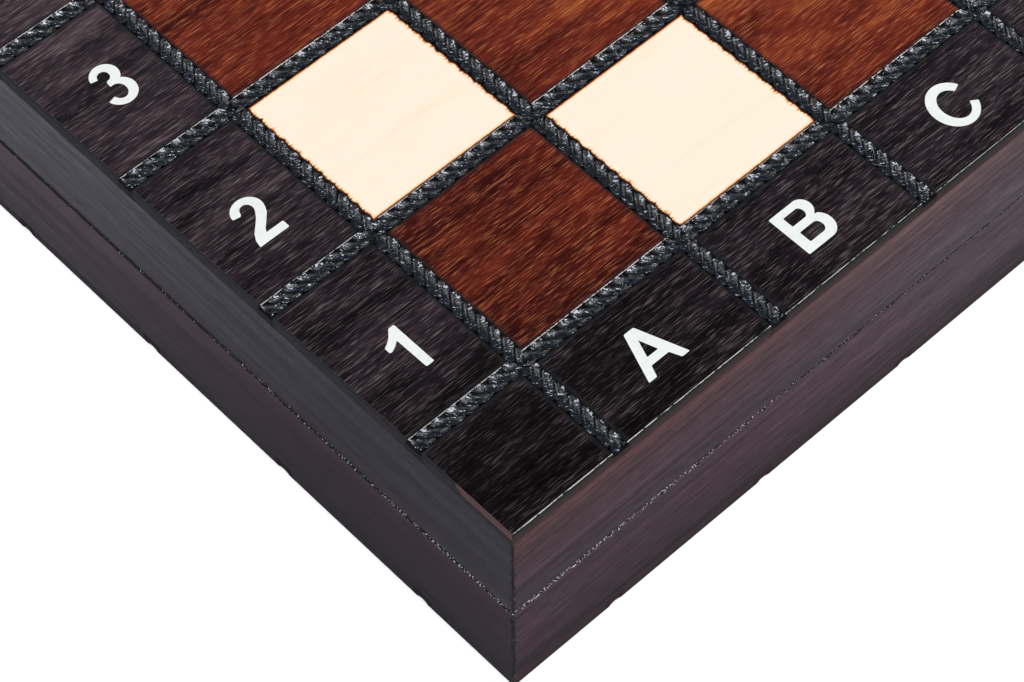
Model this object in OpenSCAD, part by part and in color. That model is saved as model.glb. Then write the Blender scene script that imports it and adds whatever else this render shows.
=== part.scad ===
// Folding chess set: two trays hinged at the back, with the board on their outer faces and the men inside.
// X runs along the files from A to H, Y from the first rank to the hinges, Z up.
// The origin is in the middle of the face that the closed case rests on. Sizes are in millimetres.

/* [Board] */
// Side of one square
square = 32; // [31.5:0.5:38]
// Border beyond files A and H
end_border = 21; // [18:0.5:30]
// Border in front of the outer rank
front_border = 20.3; // [19.5:0.1:30]
// Thickness of the plywood
ply = 2.4; // [2:0.1:3.5]
// Bevel along the edges of the plywood
ply_bevel = 0.3; // [0.1:0.05:0.6]
// Width of the groove of a rope line
rope_w = 3; // [2:0.1:4]
// Depth of the groove of a rope line
rope_d = 0.8; // [0.4:0.1:1.2]

/* [Case] */
// Height of one half of the case
half_h = 21.4; // [20:0.1:30]
// Gap between the closed halves
seam = 0.4; // [0.2:0.05:0.6]
// Thickness of the side rails
rail = 7.2; // [6:0.1:7.5]
// Bevel along the seam edges of the rails
rail_bevel = 0.3; // [0.1:0.05:0.6]
// Thickness of the felt linings
felt = 0.8; // [0.5:0.1:1.2]
// Clearance around the linings and dividers
lining_gap = 0.2; // [0.1:0.05:0.4]

/* [Dividers] */
// Thickness of the dividers
divider = 2; // [1.5:0.1:2.2]
// Height of the dividers above the felt
divider_h = 11; // [8:0.5:13]
// Clearance in the half-lap slots
lap_gap = 0.1; // [0.05:0.05:0.3]
// Radius of the finger scoops
scoop_r = 9; // [7:0.5:11]
// Depth of the finger scoops
scoop_d = 4.5; // [2:0.5:6]

/* [Hinges] */
// Length of a hinge
hinge_l = 25; // [20:1:32]
// Distance of each hinge from the middle of the case
hinge_x = 92; // [60:1:110]
// How far the pin's axis stands behind the case
hinge_set = 0.25; // [0.15:0.05:0.4]
// Diameter of the knuckles
knuckle_d = 3.6; // [3.2:0.1:4]
// Knuckles of both leaves together
knuckles = 5; // [3:2:7]
// Diameter of the hinge pin
pin_d = 1.6; // [1.2:0.1:1.8]
// Radial play between pin and knuckle
pin_play = 0.05; // [0.02:0.01:0.1]
// Thickness of a leaf
leaf_t = 0.8; // [0.6:0.1:1]
// Width of a leaf from the pin's axis
leaf_w = 6.9; // [6.5:0.1:7.2]
// Clearance around knuckles and leaves
hinge_gap = 0.2; // [0.1:0.05:0.3]
// Shank diameter of the hinge screws
screw_d = 1.6; // [1.4:0.1:1.8]
// Head diameter of the hinge screws
screw_head_d = 3; // [2.6:0.1:3.2]
// Length of the hinge screws
screw_l = 7; // [5:0.5:10]

/* [Latch] */
// Height of the hook's pivot
pivot_z = 15.6; // [14.8:0.1:17]
// Distance from the pivot to the catch stud
hook_reach = 11; // [10.6:0.1:11.4]
// Thickness of the hook
hook_t = 1.2; // [0.8:0.1:1.6]
// Width of the hook's arm
hook_w = 2.4; // [2:0.1:3]
// Diameter of the stud's and the pivot's shank
stud_d = 2; // [1.6:0.1:2.2]
// Clearance between the hook and what it touches
hook_play = 0.25; // [0.2:0.05:0.3]
// Metal around the hook's eye and catch
hook_rim = 1.7; // [1.4:0.1:1.8]
// Diameter of the stud's and the pivot's head
stud_head_d = 4.4; // [4:0.1:5]
// Length of the stud and the pivot screw in the rail
latch_shank = 5; // [4:0.5:6]

/* [Men] */
// Free length in the cell of a lying king
king_room = 4; // [3.5:0.5:10]
// Base diameter of a king
king_d = 23; // [21:0.5:23.5]
// Height and base diameter of a queen
queen_h = 55; // [50:0.5:60]
queen_d = 21; // [19:0.5:21.5]
// Height and base diameter of a bishop
bishop_h = 47; // [43:0.5:52]
bishop_d = 19; // [17:0.5:19.5]
// Height and base diameter of a knight
knight_h = 42; // [40:0.5:44]
knight_d = 19; // [18:0.5:19.5]
// Height and base diameter of a rook
rook_h = 36; // [32:0.5:42]
rook_d = 19; // [17:0.5:19.5]
// Height and base diameter of a pawn
pawn_h = 29.5; // [26:0.5:30]
pawn_d = 17; // [15:0.5:17.5]
// Thickness of the felt under a man
pad = 0.6; // [0.4:0.1:1]
// Glue line between a man and the felt under it
glue = 0.05; // [0.02:0.01:0.1]
// Gap between a lying man and the lining
rest_gap = 0.15; // [0.1:0.05:0.3]

/* [Hidden] */
$fn = 48;
files = 8;
half_ranks = 4;
past = 1; // how far a cut runs past the face it opens
case_l = files * square + 2 * end_border;
case_w = half_ranks * square + front_border;
total_h = 2 * half_h + seam;
seam_z = total_h / 2;
rail_h = half_h - ply;
inner_l = case_l - 2 * rail;
inner_w = case_w - 2 * rail;
floor_z = ply + felt;
rope_r = (rope_w * rope_w / 4 + rope_d * rope_d) / (2 * rope_d);

// hinge, measured from the pin's axis
pin_y = case_w / 2 + hinge_set;
knuckle_r = knuckle_d / 2;
knuckle_pitch = hinge_l / knuckles;
screw_x = hinge_l / 2 - 4;
screw_y = (leaf_w + knuckle_r + hinge_gap) / 2;

// latch
stud_z = pivot_z + hook_reach;
hook_y = -case_w / 2 - hook_play;
catch_r = stud_d / 2 + hook_play;
driver_slot = 0.4; // screwdriver slot in every screw's head

// men, from the left end of the tray to the right
OFFICERS = ["rook_1", "knight_1", "bishop_1", "queen", "king", "bishop_2", "knight_2", "rook_2"];
OFFICER_KINDS = ["rook", "knight", "bishop", "queen", "king", "bishop", "knight", "rook"];
PAWNS = 8;
pawn_columns = 4;
COLUMNS = concat(OFFICER_KINDS, [for (i = [1:pawn_columns]) "pawn"]);
SIDES = ["light", "dark"];

function base_d(kind) =
    kind == "king" ? king_d :
    kind == "queen" ? queen_d :
    kind == "bishop" ? bishop_d :
    kind == "knight" ? knight_d :
    kind == "rook" ? rook_d : pawn_d;
function height(kind) =
    kind == "king" ? king_h :
    kind == "queen" ? queen_h :
    kind == "bishop" ? bishop_h :
    kind == "knight" ? knight_h :
    kind == "rook" ? rook_h : pawn_h;
function sum_to(list, n) = n <= 0 ? 0 : list[n - 1] + sum_to(list, n - 1);

column_d = [for (kind = COLUMNS) base_d(kind)];
columns = len(COLUMNS);
// play beside each man, shared out over the tray's length
cell_play = (inner_l - sum_to(column_d, columns) - (columns - 1) * divider) / columns;
function column_start(i) = -inner_l / 2 + sum_to(column_d, i) + i * (cell_play + divider);
function column_x(i) = column_start(i) + (column_d[i] + cell_play) / 2;
function divider_x(i) = column_start(i) - divider / 2;
officer_cell = (inner_w - divider) / 2;
king_h = officer_cell - king_room;
pawn_cell = (inner_w - 3 * divider) / 4;
pawn_row_y = pawn_cell + divider;

// shapes shared by the turned men
foot_bevel = 0.4;
plinth = 2.2; // height of the widest ring of the foot, on which a man lies
ovolo = 2;
ovolo_end = 80; // angle at which the quarter round above the plinth stops
foot_step = 0.7;
crown_rim = 1.2; // height of the flat ring round a king's crown
crown_end = 80; // angle at which its low dome meets the cross
mitre_bulge = 88; // angle up to which a bishop's mitre swells

// the widest part of a man's head, on which it lies, as height and radius
function head_rim(kind) =
    kind == "king" ? [0.84 * king_h + crown_rim, 0.315 * king_d] :
    kind == "queen" ? [0.88 * queen_h, 0.32 * queen_d] :
    kind == "bishop" ? [0.76 * bishop_h, 0.265 * bishop_d] :
    kind == "knight" ? [0.78 * knight_h, 0.25 * knight_d] :
    kind == "rook" ? [rook_h, 0.35 * rook_d] :
    [0.835 * pawn_h, 0.165 * pawn_h];

// Curves of an outline, as points of radius and height

function arc(centre, r, from, to, steps) =
    [for (i = [0:steps]) let (a = from + (to - from) * i / steps) centre + r * [cos(a), sin(a)]];
// starts level and sweeps up to stand upright at its end
function cove(from, to, steps) =
    [for (i = [0:steps]) let (a = 90 * i / steps)
        [to.x + (from.x - to.x) * (1 - sin(a)), from.y + (to.y - from.y) * (1 - cos(a))]];
// starts upright and spreads out, more with a larger end angle
function cup(from, to, end, steps) =
    [for (i = [0:steps]) let (a = end * i / steps)
        [from.x + (to.x - from.x) * (1 - cos(a)) / (1 - cos(end)),
         from.y + (to.y - from.y) * sin(a) / sin(end)]];
function bead(r, z, t) = arc([r - t / 2, z + t / 2], t / 2, -90, 90, 6);
function dome(r, z, h, end, steps) =
    [for (i = [0:steps]) let (a = end * i / steps) [r * cos(a), z + h * sin(a)]];
function bend(a, b, c, steps) =
    [for (i = [1:steps]) let (t = i / steps) (1 - t) * (1 - t) * a + 2 * t * (1 - t) * b + t * t * c];
// the foot that all men share, up to the waist
function foot(r, waist_r, waist_z) = concat(
    [[0, pad + glue], [r - foot_bevel, pad + glue], [r, pad + glue + foot_bevel]],
    arc([r - ovolo, plinth], ovolo, 0, ovolo_end, 5),
    cove([r - ovolo - foot_step, plinth + ovolo], [waist_r, waist_z], 9));

// Board and case

module bevelled_board() {
    l = case_l / 2;
    w = case_w / 2;
    b = ply_bevel;
    intersection() {
        rotate([90, 0, 90]) linear_extrude(case_l, center = true)
            polygon([[-w, 0], [w, 0], [w, ply - b], [w - b, ply], [b - w, ply], [-w, ply - b]]);
        rotate([90, 0, 0]) linear_extrude(case_w, center = true)
            polygon([[-l, 0], [l, 0], [l, ply - b], [l - b, ply], [b - l, ply], [-l, ply - b]]);
    }
}

// the plywood with its playing face up, scored by the rope lines between the squares
module board_panel() {
    difference() {
        bevelled_board();
        translate([0, 0, ply - rope_d + rope_r]) {
            for (i = [0:files])
                translate([(i - files / 2) * square, 0, 0])
                    rotate([90, 0, 0]) cylinder(r = rope_r, h = case_w + 2 * past, center = true);
            for (i = [0:half_ranks - 1])
                translate([0, front_border - case_w / 2 + i * square, 0])
                    rotate([0, 90, 0]) cylinder(r = rope_r, h = case_l + 2 * past, center = true);
        }
    }
}

// a mitred rail along X, its outer face at y = 0 and its seam edge on top
module rail_bar(length) {
    l = length / 2;
    intersection() {
        linear_extrude(rail_h)
            polygon([[-l, 0], [l, 0], [l - rail, rail], [rail - l, rail]]);
        rotate([90, 0, 90]) linear_extrude(length, center = true)
            polygon([[0, 0], [rail, 0], [rail, rail_h], [rail_bevel, rail_h], [0, rail_h - rail_bevel]]);
    }
}

module in_upper_half() {
    translate([0, 0, total_h]) mirror([0, 0, 1]) children();
}

module front_rail() {
    translate([0, -case_w / 2, ply]) rail_bar(case_l);
}

module side_rail(turn) {
    rotate([0, 0, turn]) translate([0, -case_l / 2, ply]) rail_bar(case_w);
}

module hinge_place(side) { translate([side * hinge_x, pin_y, seam_z]) children(); }
module at_hinges() { for (side = [-1, 1]) hinge_place(side) children(); }

// the rear rail, with a rebate for the knuckles, a mortise for the leaf and pilot holes
module back_rail() {
    difference() {
        rotate([0, 0, 180]) front_rail();
        at_hinges() {
            reach = knuckle_r + hinge_gap;
            long = hinge_l + 2 * hinge_gap;
            translate([-long / 2, -reach, -reach]) cube([long, 2 * reach, 2 * reach]);
            translate([-long / 2, -leaf_w - hinge_gap, -seam / 2 - leaf_t]) cube([long, leaf_w, leaf_t + past]);
            for (s = [-1, 1]) translate([s * screw_x, -screw_y, -seam / 2 - screw_l - hinge_gap])
                cylinder(d = screw_d + 2 * pin_play, h = screw_l + past);
        }
    }
}

module lining() {
    translate([lining_gap - inner_l / 2, lining_gap - inner_w / 2, ply])
        cube([inner_l - 2 * lining_gap, inner_w - 2 * lining_gap, felt]);
}

module upper_board_panel() { color("#8a5a3c") translate([0, 0, total_h - ply]) board_panel(); }
module lower_board_panel() { color("#8a5a3c") translate([0, 0, ply]) mirror([0, 0, 1]) board_panel(); }
module upper_front_rail() {
    color("#4a3c44") difference() {
        in_upper_half() front_rail();
        latch_pilot(stud_z);
    }
}
module lower_front_rail() {
    color("#4a3c44") difference() {
        front_rail();
        latch_pilot(pivot_z);
    }
}
module upper_back_rail() { color("#4a3c44") in_upper_half() back_rail(); }
module lower_back_rail() { color("#4a3c44") back_rail(); }
module upper_left_rail() { color("#403d45") in_upper_half() side_rail(-90); }
module lower_left_rail() { color("#403d45") side_rail(-90); }
module upper_right_rail() { color("#403d45") in_upper_half() side_rail(90); }
module lower_right_rail() { color("#403d45") side_rail(90); }
module upper_lining() { color("#3d5a3c") in_upper_half() lining(); }
module lower_lining() { color("#3d5a3c") lining(); }

// Dividers: thin strips that cross each other in half-laps and stand on the felt

module strip_along_x(from, to) {
    translate([from, -divider / 2, floor_z]) cube([to - from, divider, divider_h]);
}
module lap_slot(bottom) {
    slot = divider + 2 * lap_gap;
    translate([-slot / 2, -slot / 2, bottom ? floor_z - past : floor_z + divider_h / 2])
        cube([slot, slot, divider_h / 2 + past]);
}

module cross_dividers() {
    w = inner_w - 2 * lining_gap;
    color("#c9a26b") for (i = [1:columns - 1]) translate([divider_x(i), 0, 0]) difference() {
        translate([-divider / 2, -w / 2, floor_z]) cube([divider, w, divider_h]);
        lap_slot(false);
        if (i > len(OFFICERS)) for (s = [-1, 1]) translate([0, s * pawn_row_y, 0]) lap_slot(false);
        if (i < len(OFFICERS)) for (s = [-1, 1])
            translate([0, s * (officer_cell + divider) / 2, floor_z + divider_h - scoop_d + scoop_r])
                rotate([0, 90, 0]) cylinder(r = scoop_r, h = divider + 2 * past, center = true);
    }
}
module middle_divider() {
    color("#c9a26b") difference() {
        strip_along_x(lining_gap - inner_l / 2, inner_l / 2 - lining_gap);
        for (i = [1:columns - 1]) translate([divider_x(i), 0, 0]) lap_slot(true);
    }
}
module pawn_row_dividers() {
    first = len(OFFICERS);
    color("#c9a26b") for (s = [-1, 1]) translate([0, s * pawn_row_y, 0]) difference() {
        strip_along_x(divider_x(first) + divider / 2 + lap_gap, inner_l / 2 - lining_gap);
        for (i = [first + 1:columns - 1]) translate([divider_x(i), 0, 0]) lap_slot(true);
    }
}

// Hinges, drawn about the pin's axis, with the leaf of the lower half below it

module leaf(first) {
    plate_edge = knuckle_r + hinge_gap;
    long = knuckle_pitch - hinge_gap;
    difference() {
        union() {
            translate([-hinge_l / 2, -leaf_w, -seam / 2 - leaf_t]) cube([hinge_l, leaf_w - plate_edge, leaf_t]);
            for (k = [first:2:knuckles - 1]) translate([(k + 0.5) * knuckle_pitch - hinge_l / 2, 0, 0]) {
                rotate([0, 90, 0]) cylinder(r = knuckle_r, h = long, center = true);
                translate([-long / 2, -plate_edge, -seam / 2 - leaf_t]) cube([long, plate_edge, leaf_t]);
            }
        }
        rotate([0, 90, 0]) cylinder(d = pin_d + 2 * pin_play, h = hinge_l + past, center = true);
        for (s = [-1, 1]) translate([s * screw_x, -screw_y, -seam / 2 - leaf_t])
            cylinder(d1 = screw_d + 2 * pin_play, d2 = screw_head_d + 2 * pin_play, h = leaf_t);
    }
}
module hinge_pin() {
    color("#b08d4a") rotate([0, 90, 0]) cylinder(d = pin_d, h = hinge_l - hinge_gap, center = true);
}
// a countersunk screw with its head's top at the origin and its point down
module wood_screw() {
    point = screw_d;
    difference() {
        rotate_extrude() polygon([[0, -screw_l], [screw_d / 2, point - screw_l], [screw_d / 2, -leaf_t],
            [screw_head_d / 2, 0], [0, 0]]);
        translate([-screw_head_d, -driver_slot / 2, -driver_slot])
            cube([2 * screw_head_d, driver_slot, driver_slot + past]);
    }
}
module hinge_screws() {
    color("#b08d4a") at_hinges() for (s = [-1, 1])
        translate([s * screw_x, -screw_y, -seam / 2]) wood_screw();
}
module lower_leaf() { color("#b08d4a") leaf(0); }
module upper_leaf() { color("#b08d4a") mirror([0, 0, 1]) leaf(1); }
module left_hinge_lower_leaf() { hinge_place(-1) lower_leaf(); }
module left_hinge_upper_leaf() { hinge_place(-1) upper_leaf(); }
module left_hinge_pin() { hinge_place(-1) hinge_pin(); }
module right_hinge_lower_leaf() { hinge_place(1) lower_leaf(); }
module right_hinge_upper_leaf() { hinge_place(1) upper_leaf(); }
module right_hinge_pin() { hinge_place(1) hinge_pin(); }
module lower_hinge_screws() { hinge_screws(); }
module upper_hinge_screws() { in_upper_half() hinge_screws(); }

// Latch: a hook that hangs from the lower half and swings up over a stud on the upper half

module latch_pilot(z) {
    translate([0, -case_w / 2 - past, z]) rotate([-90, 0, 0])
        cylinder(d = stud_d + 2 * pin_play, h = latch_shank + past + hinge_gap);
}
// a turned screw along +Y, its domed head clear of a hook behind it
module headed_pin(z) {
    neck = hook_t + 2 * hook_play;
    head_t = 1;
    color("#b08d4a") translate([0, -case_w / 2, z]) rotate([-90, 0, 0]) difference() {
        rotate_extrude() polygon(concat(
            [[0, latch_shank], [stud_d / 4, latch_shank], [stud_d / 2, latch_shank - stud_d / 2],
             [stud_d / 2, -neck]],
            [for (p = dome(stud_head_d / 2, neck, head_t, 90, 5)) [p.x, -p.y]]));
        translate([-stud_head_d, -driver_slot / 2, -neck - 2 * head_t])
            cube([2 * stud_head_d, driver_slot, 1.5 * head_t]);
    }
}
module latch_pivot_screw() { headed_pin(pivot_z); }
module latch_stud() { headed_pin(stud_z); }
module latch_hook() {
    seat_r = catch_r + hook_rim;
    eye_r = stud_d / 2 + pin_play;
    color("#b08d4a") translate([0, hook_y, pivot_z]) rotate([90, 0, 0]) difference() {
        union() {
            cylinder(r = eye_r + hook_rim, h = hook_t);
            translate([-hook_w / 2, -hook_reach + catch_r, 0]) cube([hook_w, hook_reach - catch_r, hook_t]);
            translate([0, -hook_reach, 0]) cylinder(r = seat_r, h = hook_t);
        }
        translate([0, 0, -past]) cylinder(r = eye_r, h = hook_t + 2 * past);
        translate([0, -hook_reach, -past]) cylinder(r = catch_r, h = hook_t + 2 * past);
        // the mouth follows the arc that the stud takes round the pivot
        translate([0, 0, -past]) intersection() {
            difference() {
                cylinder(r = hook_reach + catch_r, h = hook_t + 2 * past);
                translate([0, 0, -past]) cylinder(r = hook_reach - catch_r, h = hook_t + 4 * past);
            }
            translate([-hook_reach, -2 * hook_reach, -past])
                cube([hook_reach, 2 * hook_reach, hook_t + 4 * past]);
        }
    }
}

// Men, upright, with the felt under the base at z = 0

module felt_pad(r) { cylinder(r = r - ovolo, h = pad); }

module king() {
    r = king_d / 2;
    h = king_h;
    stem_r = 0.38 * r;
    rim_r = head_rim("king").y;
    rim_z = head_rim("king").x;
    dome_h = 0.055 * h;
    cross_w = 0.26 * king_d;
    cross_z = rim_z + dome_h;
    felt_pad(r);
    rotate_extrude() polygon(concat(
        foot(r, stem_r, 0.42 * h),
        [[1.1 * stem_r, 0.59 * h]],
        bead(0.66 * r, 0.6 * h, 1.8),
        [[0.5 * r, 0.6 * h + 1.8]],
        bead(0.54 * r, 0.6 * h + 2.2, 1.2),
        cup([0.37 * r, 0.66 * h], [rim_r, rim_z - crown_rim], 60, 8),
        [[rim_r, rim_z]],
        dome(0.9 * rim_r, rim_z, dome_h, crown_end, 6),
        [[0, cross_z]]));
    // cross
    arm = 0.07 * king_d;
    translate([0, 0, cross_z - 0.5]) rotate([90, 0, 0])
        linear_extrude(1.4 * arm, center = true) polygon([
            [-arm, 0], [arm, 0], [0.6 * arm, 0.45 * (h - cross_z)], [cross_w / 2, 0.35 * (h - cross_z)],
            [cross_w / 2, 0.85 * (h - cross_z)], [0.6 * arm, 0.75 * (h - cross_z)], [arm, h - cross_z + 0.5],
            [-arm, h - cross_z + 0.5], [-0.6 * arm, 0.75 * (h - cross_z)], [-cross_w / 2, 0.85 * (h - cross_z)],
            [-cross_w / 2, 0.35 * (h - cross_z)], [-0.6 * arm, 0.45 * (h - cross_z)]]);
}

module queen() {
    r = queen_d / 2;
    h = queen_h;
    stem_r = 0.38 * r;
    rim_r = head_rim("queen").y;
    rim_z = head_rim("queen").x;
    points = 8;
    felt_pad(r);
    difference() {
        rotate_extrude() polygon(concat(
            foot(r, stem_r, 0.41 * h),
            [[1.1 * stem_r, 0.58 * h]],
            bead(0.66 * r, 0.59 * h, 1.7),
            [[0.5 * r, 0.59 * h + 1.7]],
            bead(0.54 * r, 0.59 * h + 2.1, 1.2),
            cup([0.35 * r, 0.66 * h], [rim_r, rim_z], 55, 8),
            [[0.84 * rim_r, rim_z], [0.7 * rim_r, rim_z - 1]],
            dome(0.7 * rim_r, rim_z - 1, 0.075 * h, 70, 5),
            [for (p = arc([0, h - 0.036 * h], 0.036 * h, -50, 90, 7)) [max(p.x, 0), p.y]]));
        // the coronet's scallops
        for (i = [0:points - 1]) rotate([0, 0, i * 360 / points])
            translate([rim_r, 0, rim_z + 0.4]) rotate([0, 90, 0]) cylinder(d = 3.2, h = 4, center = true);
    }
}

module bishop() {
    r = bishop_d / 2;
    h = bishop_h;
    stem_r = 0.39 * r;
    head_r = head_rim("bishop").y;
    head_z = head_rim("bishop").x;
    knob = 0.032 * h;
    felt_pad(r);
    difference() {
        rotate_extrude() polygon(concat(
            foot(r, stem_r, 0.38 * h),
            [[1.05 * stem_r, 0.58 * h]],
            bead(0.62 * r, 0.585 * h, 1.6),
            [[0.44 * r, 0.585 * h + 1.6], [0.33 * r, 0.65 * h]],
            cup([0.33 * r, 0.655 * h], [head_r, head_z], mitre_bulge, 6),
            bend([head_r, head_z], [head_r, 0.85 * h], [0.16 * r, h - 2.4 * knob], 8),
            [for (p = arc([0, h - knob], knob, -50, 90, 7)) [max(p.x, 0), p.y]]));
        // the mitre's slit
        translate([0.1 * r, -r, 0.83 * h]) rotate([0, -35, 0]) cube([r, 2 * r, 0.9]);
    }
}

module rook() {
    r = rook_d / 2;
    h = rook_h;
    stem_r = 0.52 * r;
    top_r = head_rim("rook").y;
    merlons = 4;
    wall = 1.8;
    crenel = 2.2;
    felt_pad(r);
    difference() {
        rotate_extrude() polygon(concat(
            foot(r, stem_r, 0.55 * h),
            cup([stem_r, 0.62 * h], [0.76 * r, 0.73 * h], 80, 6),
            [[0.76 * r, 0.73 * h + 1.4], [0.66 * r, 0.73 * h + 1.8], [top_r, h], [0, h]]));
        translate([0, 0, h - 1.7 * crenel]) cylinder(r = top_r - wall, h = 2 * crenel);
        for (i = [0:merlons - 1]) rotate([0, 0, 45 + 90 * i])
            translate([0, -crenel / 2, h - crenel]) cube([r, crenel, 2 * crenel]);
    }
}

module pawn() {
    r = pawn_d / 2;
    h = pawn_h;
    ball = head_rim("pawn").y;
    stem_r = 0.38 * r;
    felt_pad(r);
    rotate_extrude() polygon(concat(
        foot(r, stem_r, 0.52 * h),
        [[1.02 * stem_r, 0.6 * h]],
        bead(0.62 * r, 0.605 * h, 1.5),
        [for (p = arc([0, h - ball], ball, -60, 90, 14)) [max(p.x, 0), p.y]]));
}

// the side view of the horse's head, nose to +X, from the neck's foot at z = 0 up to the poll
function horse(r, h) = let (k = h / 28) concat(
    [[-0.6 * r, 0]],
    bend([-0.6 * r, 0], [-0.9 * r, 7 * k], [-0.84 * r, 14 * k], 6),
    bend([-0.84 * r, 14 * k], [-0.76 * r, 24 * k], [-0.28 * r, 27.6 * k], 8),
    bend([-0.28 * r, 27.6 * k], [-0.08 * r, 28.4 * k], [0.14 * r, 27.2 * k], 4),
    bend([0.14 * r, 27.2 * k], [0.4 * r, 25.6 * k], [0.42 * r, 23 * k], 4),
    bend([0.42 * r, 23 * k], [0.54 * r, 18.6 * k], [0.8 * r, 16 * k], 4),
    bend([0.8 * r, 16 * k], [1.02 * r, 13.4 * k], [0.86 * r, 11.6 * k], 6),
    bend([0.86 * r, 11.6 * k], [0.72 * r, 10 * k], [0.56 * r, 11 * k], 4),
    bend([0.56 * r, 11 * k], [0.34 * r, 12.6 * k], [0.2 * r, 11.2 * k], 4),
    bend([0.2 * r, 11.2 * k], [0.02 * r, 9.6 * k], [-0.1 * r, 12.4 * k], 4),
    bend([-0.1 * r, 12.4 * k], [0.06 * r, 7.4 * k], [0.44 * r, 6 * k], 5),
    bend([0.44 * r, 6 * k], [0.7 * r, 4 * k], [0.62 * r, 0], 6));

// a groove cut into both sides of the head, round a point of its side view
module cheek_groove(x, z, r, depth, half_t) {
    groove = 0.6;
    for (s = [-1, 1]) translate([x, s * half_t, z]) rotate([90, 0, 0]) difference() {
        cylinder(r = r, h = 2 * depth, center = true);
        cylinder(r = r - groove, h = 4 * depth, center = true);
        translate([-2 * r, -0.3 * r, -2 * depth]) cube([4 * r, 2 * r, 4 * depth]);
    }
}

module knight() {
    r = knight_d / 2;
    h = knight_h;
    neck_z = 0.27 * h;
    sink = 0.4; // how far the head stands in the collar
    head_h = 0.93 * (h - neck_z);
    mane_t = 0.24 * r;
    muzzle_t = 0.3 * r;
    cheek_t = head_rim("knight").y;
    neck_t = 0.58 * r;
    ear_h = 0.24 * (h - neck_z);
    mane_cuts = 6;
    felt_pad(r);
    rotate_extrude() polygon(concat(
        foot(r, 0.66 * r, 0.22 * h),
        bead(0.78 * r, 0.225 * h, 1.6),
        [[0.7 * r, neck_z], [0, neck_z + sink / 2]]));
    difference() {
        union() {
            intersection() {
                translate([0, 0, neck_z - sink]) rotate([90, 0, 0])
                    linear_extrude(2 * r, center = true) polygon(horse(r, head_h + sink));
                // front view: thick at the neck, slimmer towards the poll
                translate([0, 0, neck_z - sink]) rotate([90, 0, 90])
                    linear_extrude(3 * r, center = true) polygon([
                        [-neck_t, -sink], [neck_t, -sink], [cheek_t, 0.3 * head_h], [cheek_t, 0.75 * head_h],
                        [mane_t, 1.1 * head_h], [-mane_t, 1.1 * head_h], [-cheek_t, 0.75 * head_h],
                        [-cheek_t, 0.3 * head_h]]);
                // view from above: thin at the mane and the muzzle
                translate([0, 0, neck_z - 2 * sink]) linear_extrude(head_h + 2) polygon([
                    [-r, mane_t], [-0.6 * r, 0.4 * r], [-0.3 * r, neck_t], [0.3 * r, neck_t], [0.95 * r, muzzle_t],
                    [0.95 * r, -muzzle_t], [0.3 * r, -neck_t], [-0.3 * r, -neck_t], [-0.6 * r, -0.4 * r],
                    [-r, -mane_t]]);
            }
            for (s = [-1, 1])
                translate([-0.1 * r, s * 0.22 * r, h - ear_h]) rotate([s * -8, 8, 0])
                    cylinder(r1 = 0.24 * r, r2 = 0.04 * r, h = ear_h);
        }
        cheek_groove(0.1 * r, neck_z + 0.56 * head_h, 0.36 * r, 0.5, cheek_t);
        // eyes, nostrils, the cuts of the mane and the mouth
        for (s = [-1, 1]) {
            translate([0.22 * r, s * 0.46 * r, neck_z + 0.8 * head_h]) sphere(r = 0.9);
            translate([0.8 * r, s * 0.36 * r, neck_z + 0.49 * head_h]) sphere(r = 0.6);
            for (i = [0:mane_cuts - 1])
                translate([-r, s * (mane_t + 0.6), neck_z + (0.16 + 0.13 * i) * head_h])
                    rotate([0, -28, 0]) cube([0.8 * r, 1.2, 0.7], center = true);
        }
        translate([0.56 * r, -r, neck_z + 0.42 * head_h]) rotate([0, 14, 0]) cube([r, 2 * r, 0.5]);
    }
}

module man(kind) {
    if (kind == "king") king();
    if (kind == "queen") queen();
    if (kind == "bishop") bishop();
    if (kind == "knight") knight();
    if (kind == "rook") rook();
    if (kind == "pawn") pawn();
}

function lie_angle(kind) = let (rim = head_rim(kind)) atan((base_d(kind) / 2 - rim.y) / (rim.x - plinth));

// a man lying in a cell, on the rims of its foot and head, its foot towards the outer rail
module lying(kind, side, column, from_wall, cell) {
    r = base_d(kind) / 2;
    a = lie_angle(kind);
    spare = cell - height(kind) * cos(a) - r * sin(a);
    y = inner_w / 2 - from_wall - spare / 2 - r * sin(a);
    front = side == "light";
    color(front ? "#e2c28c" : "#5a2f1c")
        translate([column_x(column), front ? -y : y, floor_z + rest_gap + r * cos(a) + plinth * sin(a)])
            rotate([0, 0, front ? 0 : 180]) rotate([-90 - a, 0, 0]) man(kind);
}
module officer(side, i) { lying(OFFICER_KINDS[i], side, i, 0, officer_cell); }
module pawn_in_cell(side, n) {
    row = (n - 1) % 2;
    lying("pawn", side, len(OFFICERS) + floor((n - 1) / 2), row * pawn_row_y, pawn_cell);
}

upper_board_panel();
upper_front_rail();
upper_back_rail();
upper_left_rail();
upper_right_rail();
upper_lining();
lower_board_panel();
lower_front_rail();
lower_back_rail();
lower_left_rail();
lower_right_rail();
lower_lining();
cross_dividers();
middle_divider();
pawn_row_dividers();
left_hinge_lower_leaf();
left_hinge_upper_leaf();
left_hinge_pin();
right_hinge_lower_leaf();
right_hinge_upper_leaf();
right_hinge_pin();
lower_hinge_screws();
upper_hinge_screws();
latch_hook();
latch_pivot_screw();
latch_stud();
for (side = SIDES) {
    for (i = [0:len(OFFICERS) - 1])
        officer(side, i);
    for (n = [1:PAWNS])
        pawn_in_cell(side, n);
}
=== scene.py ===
from math import cos, pi, radians, sin

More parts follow.
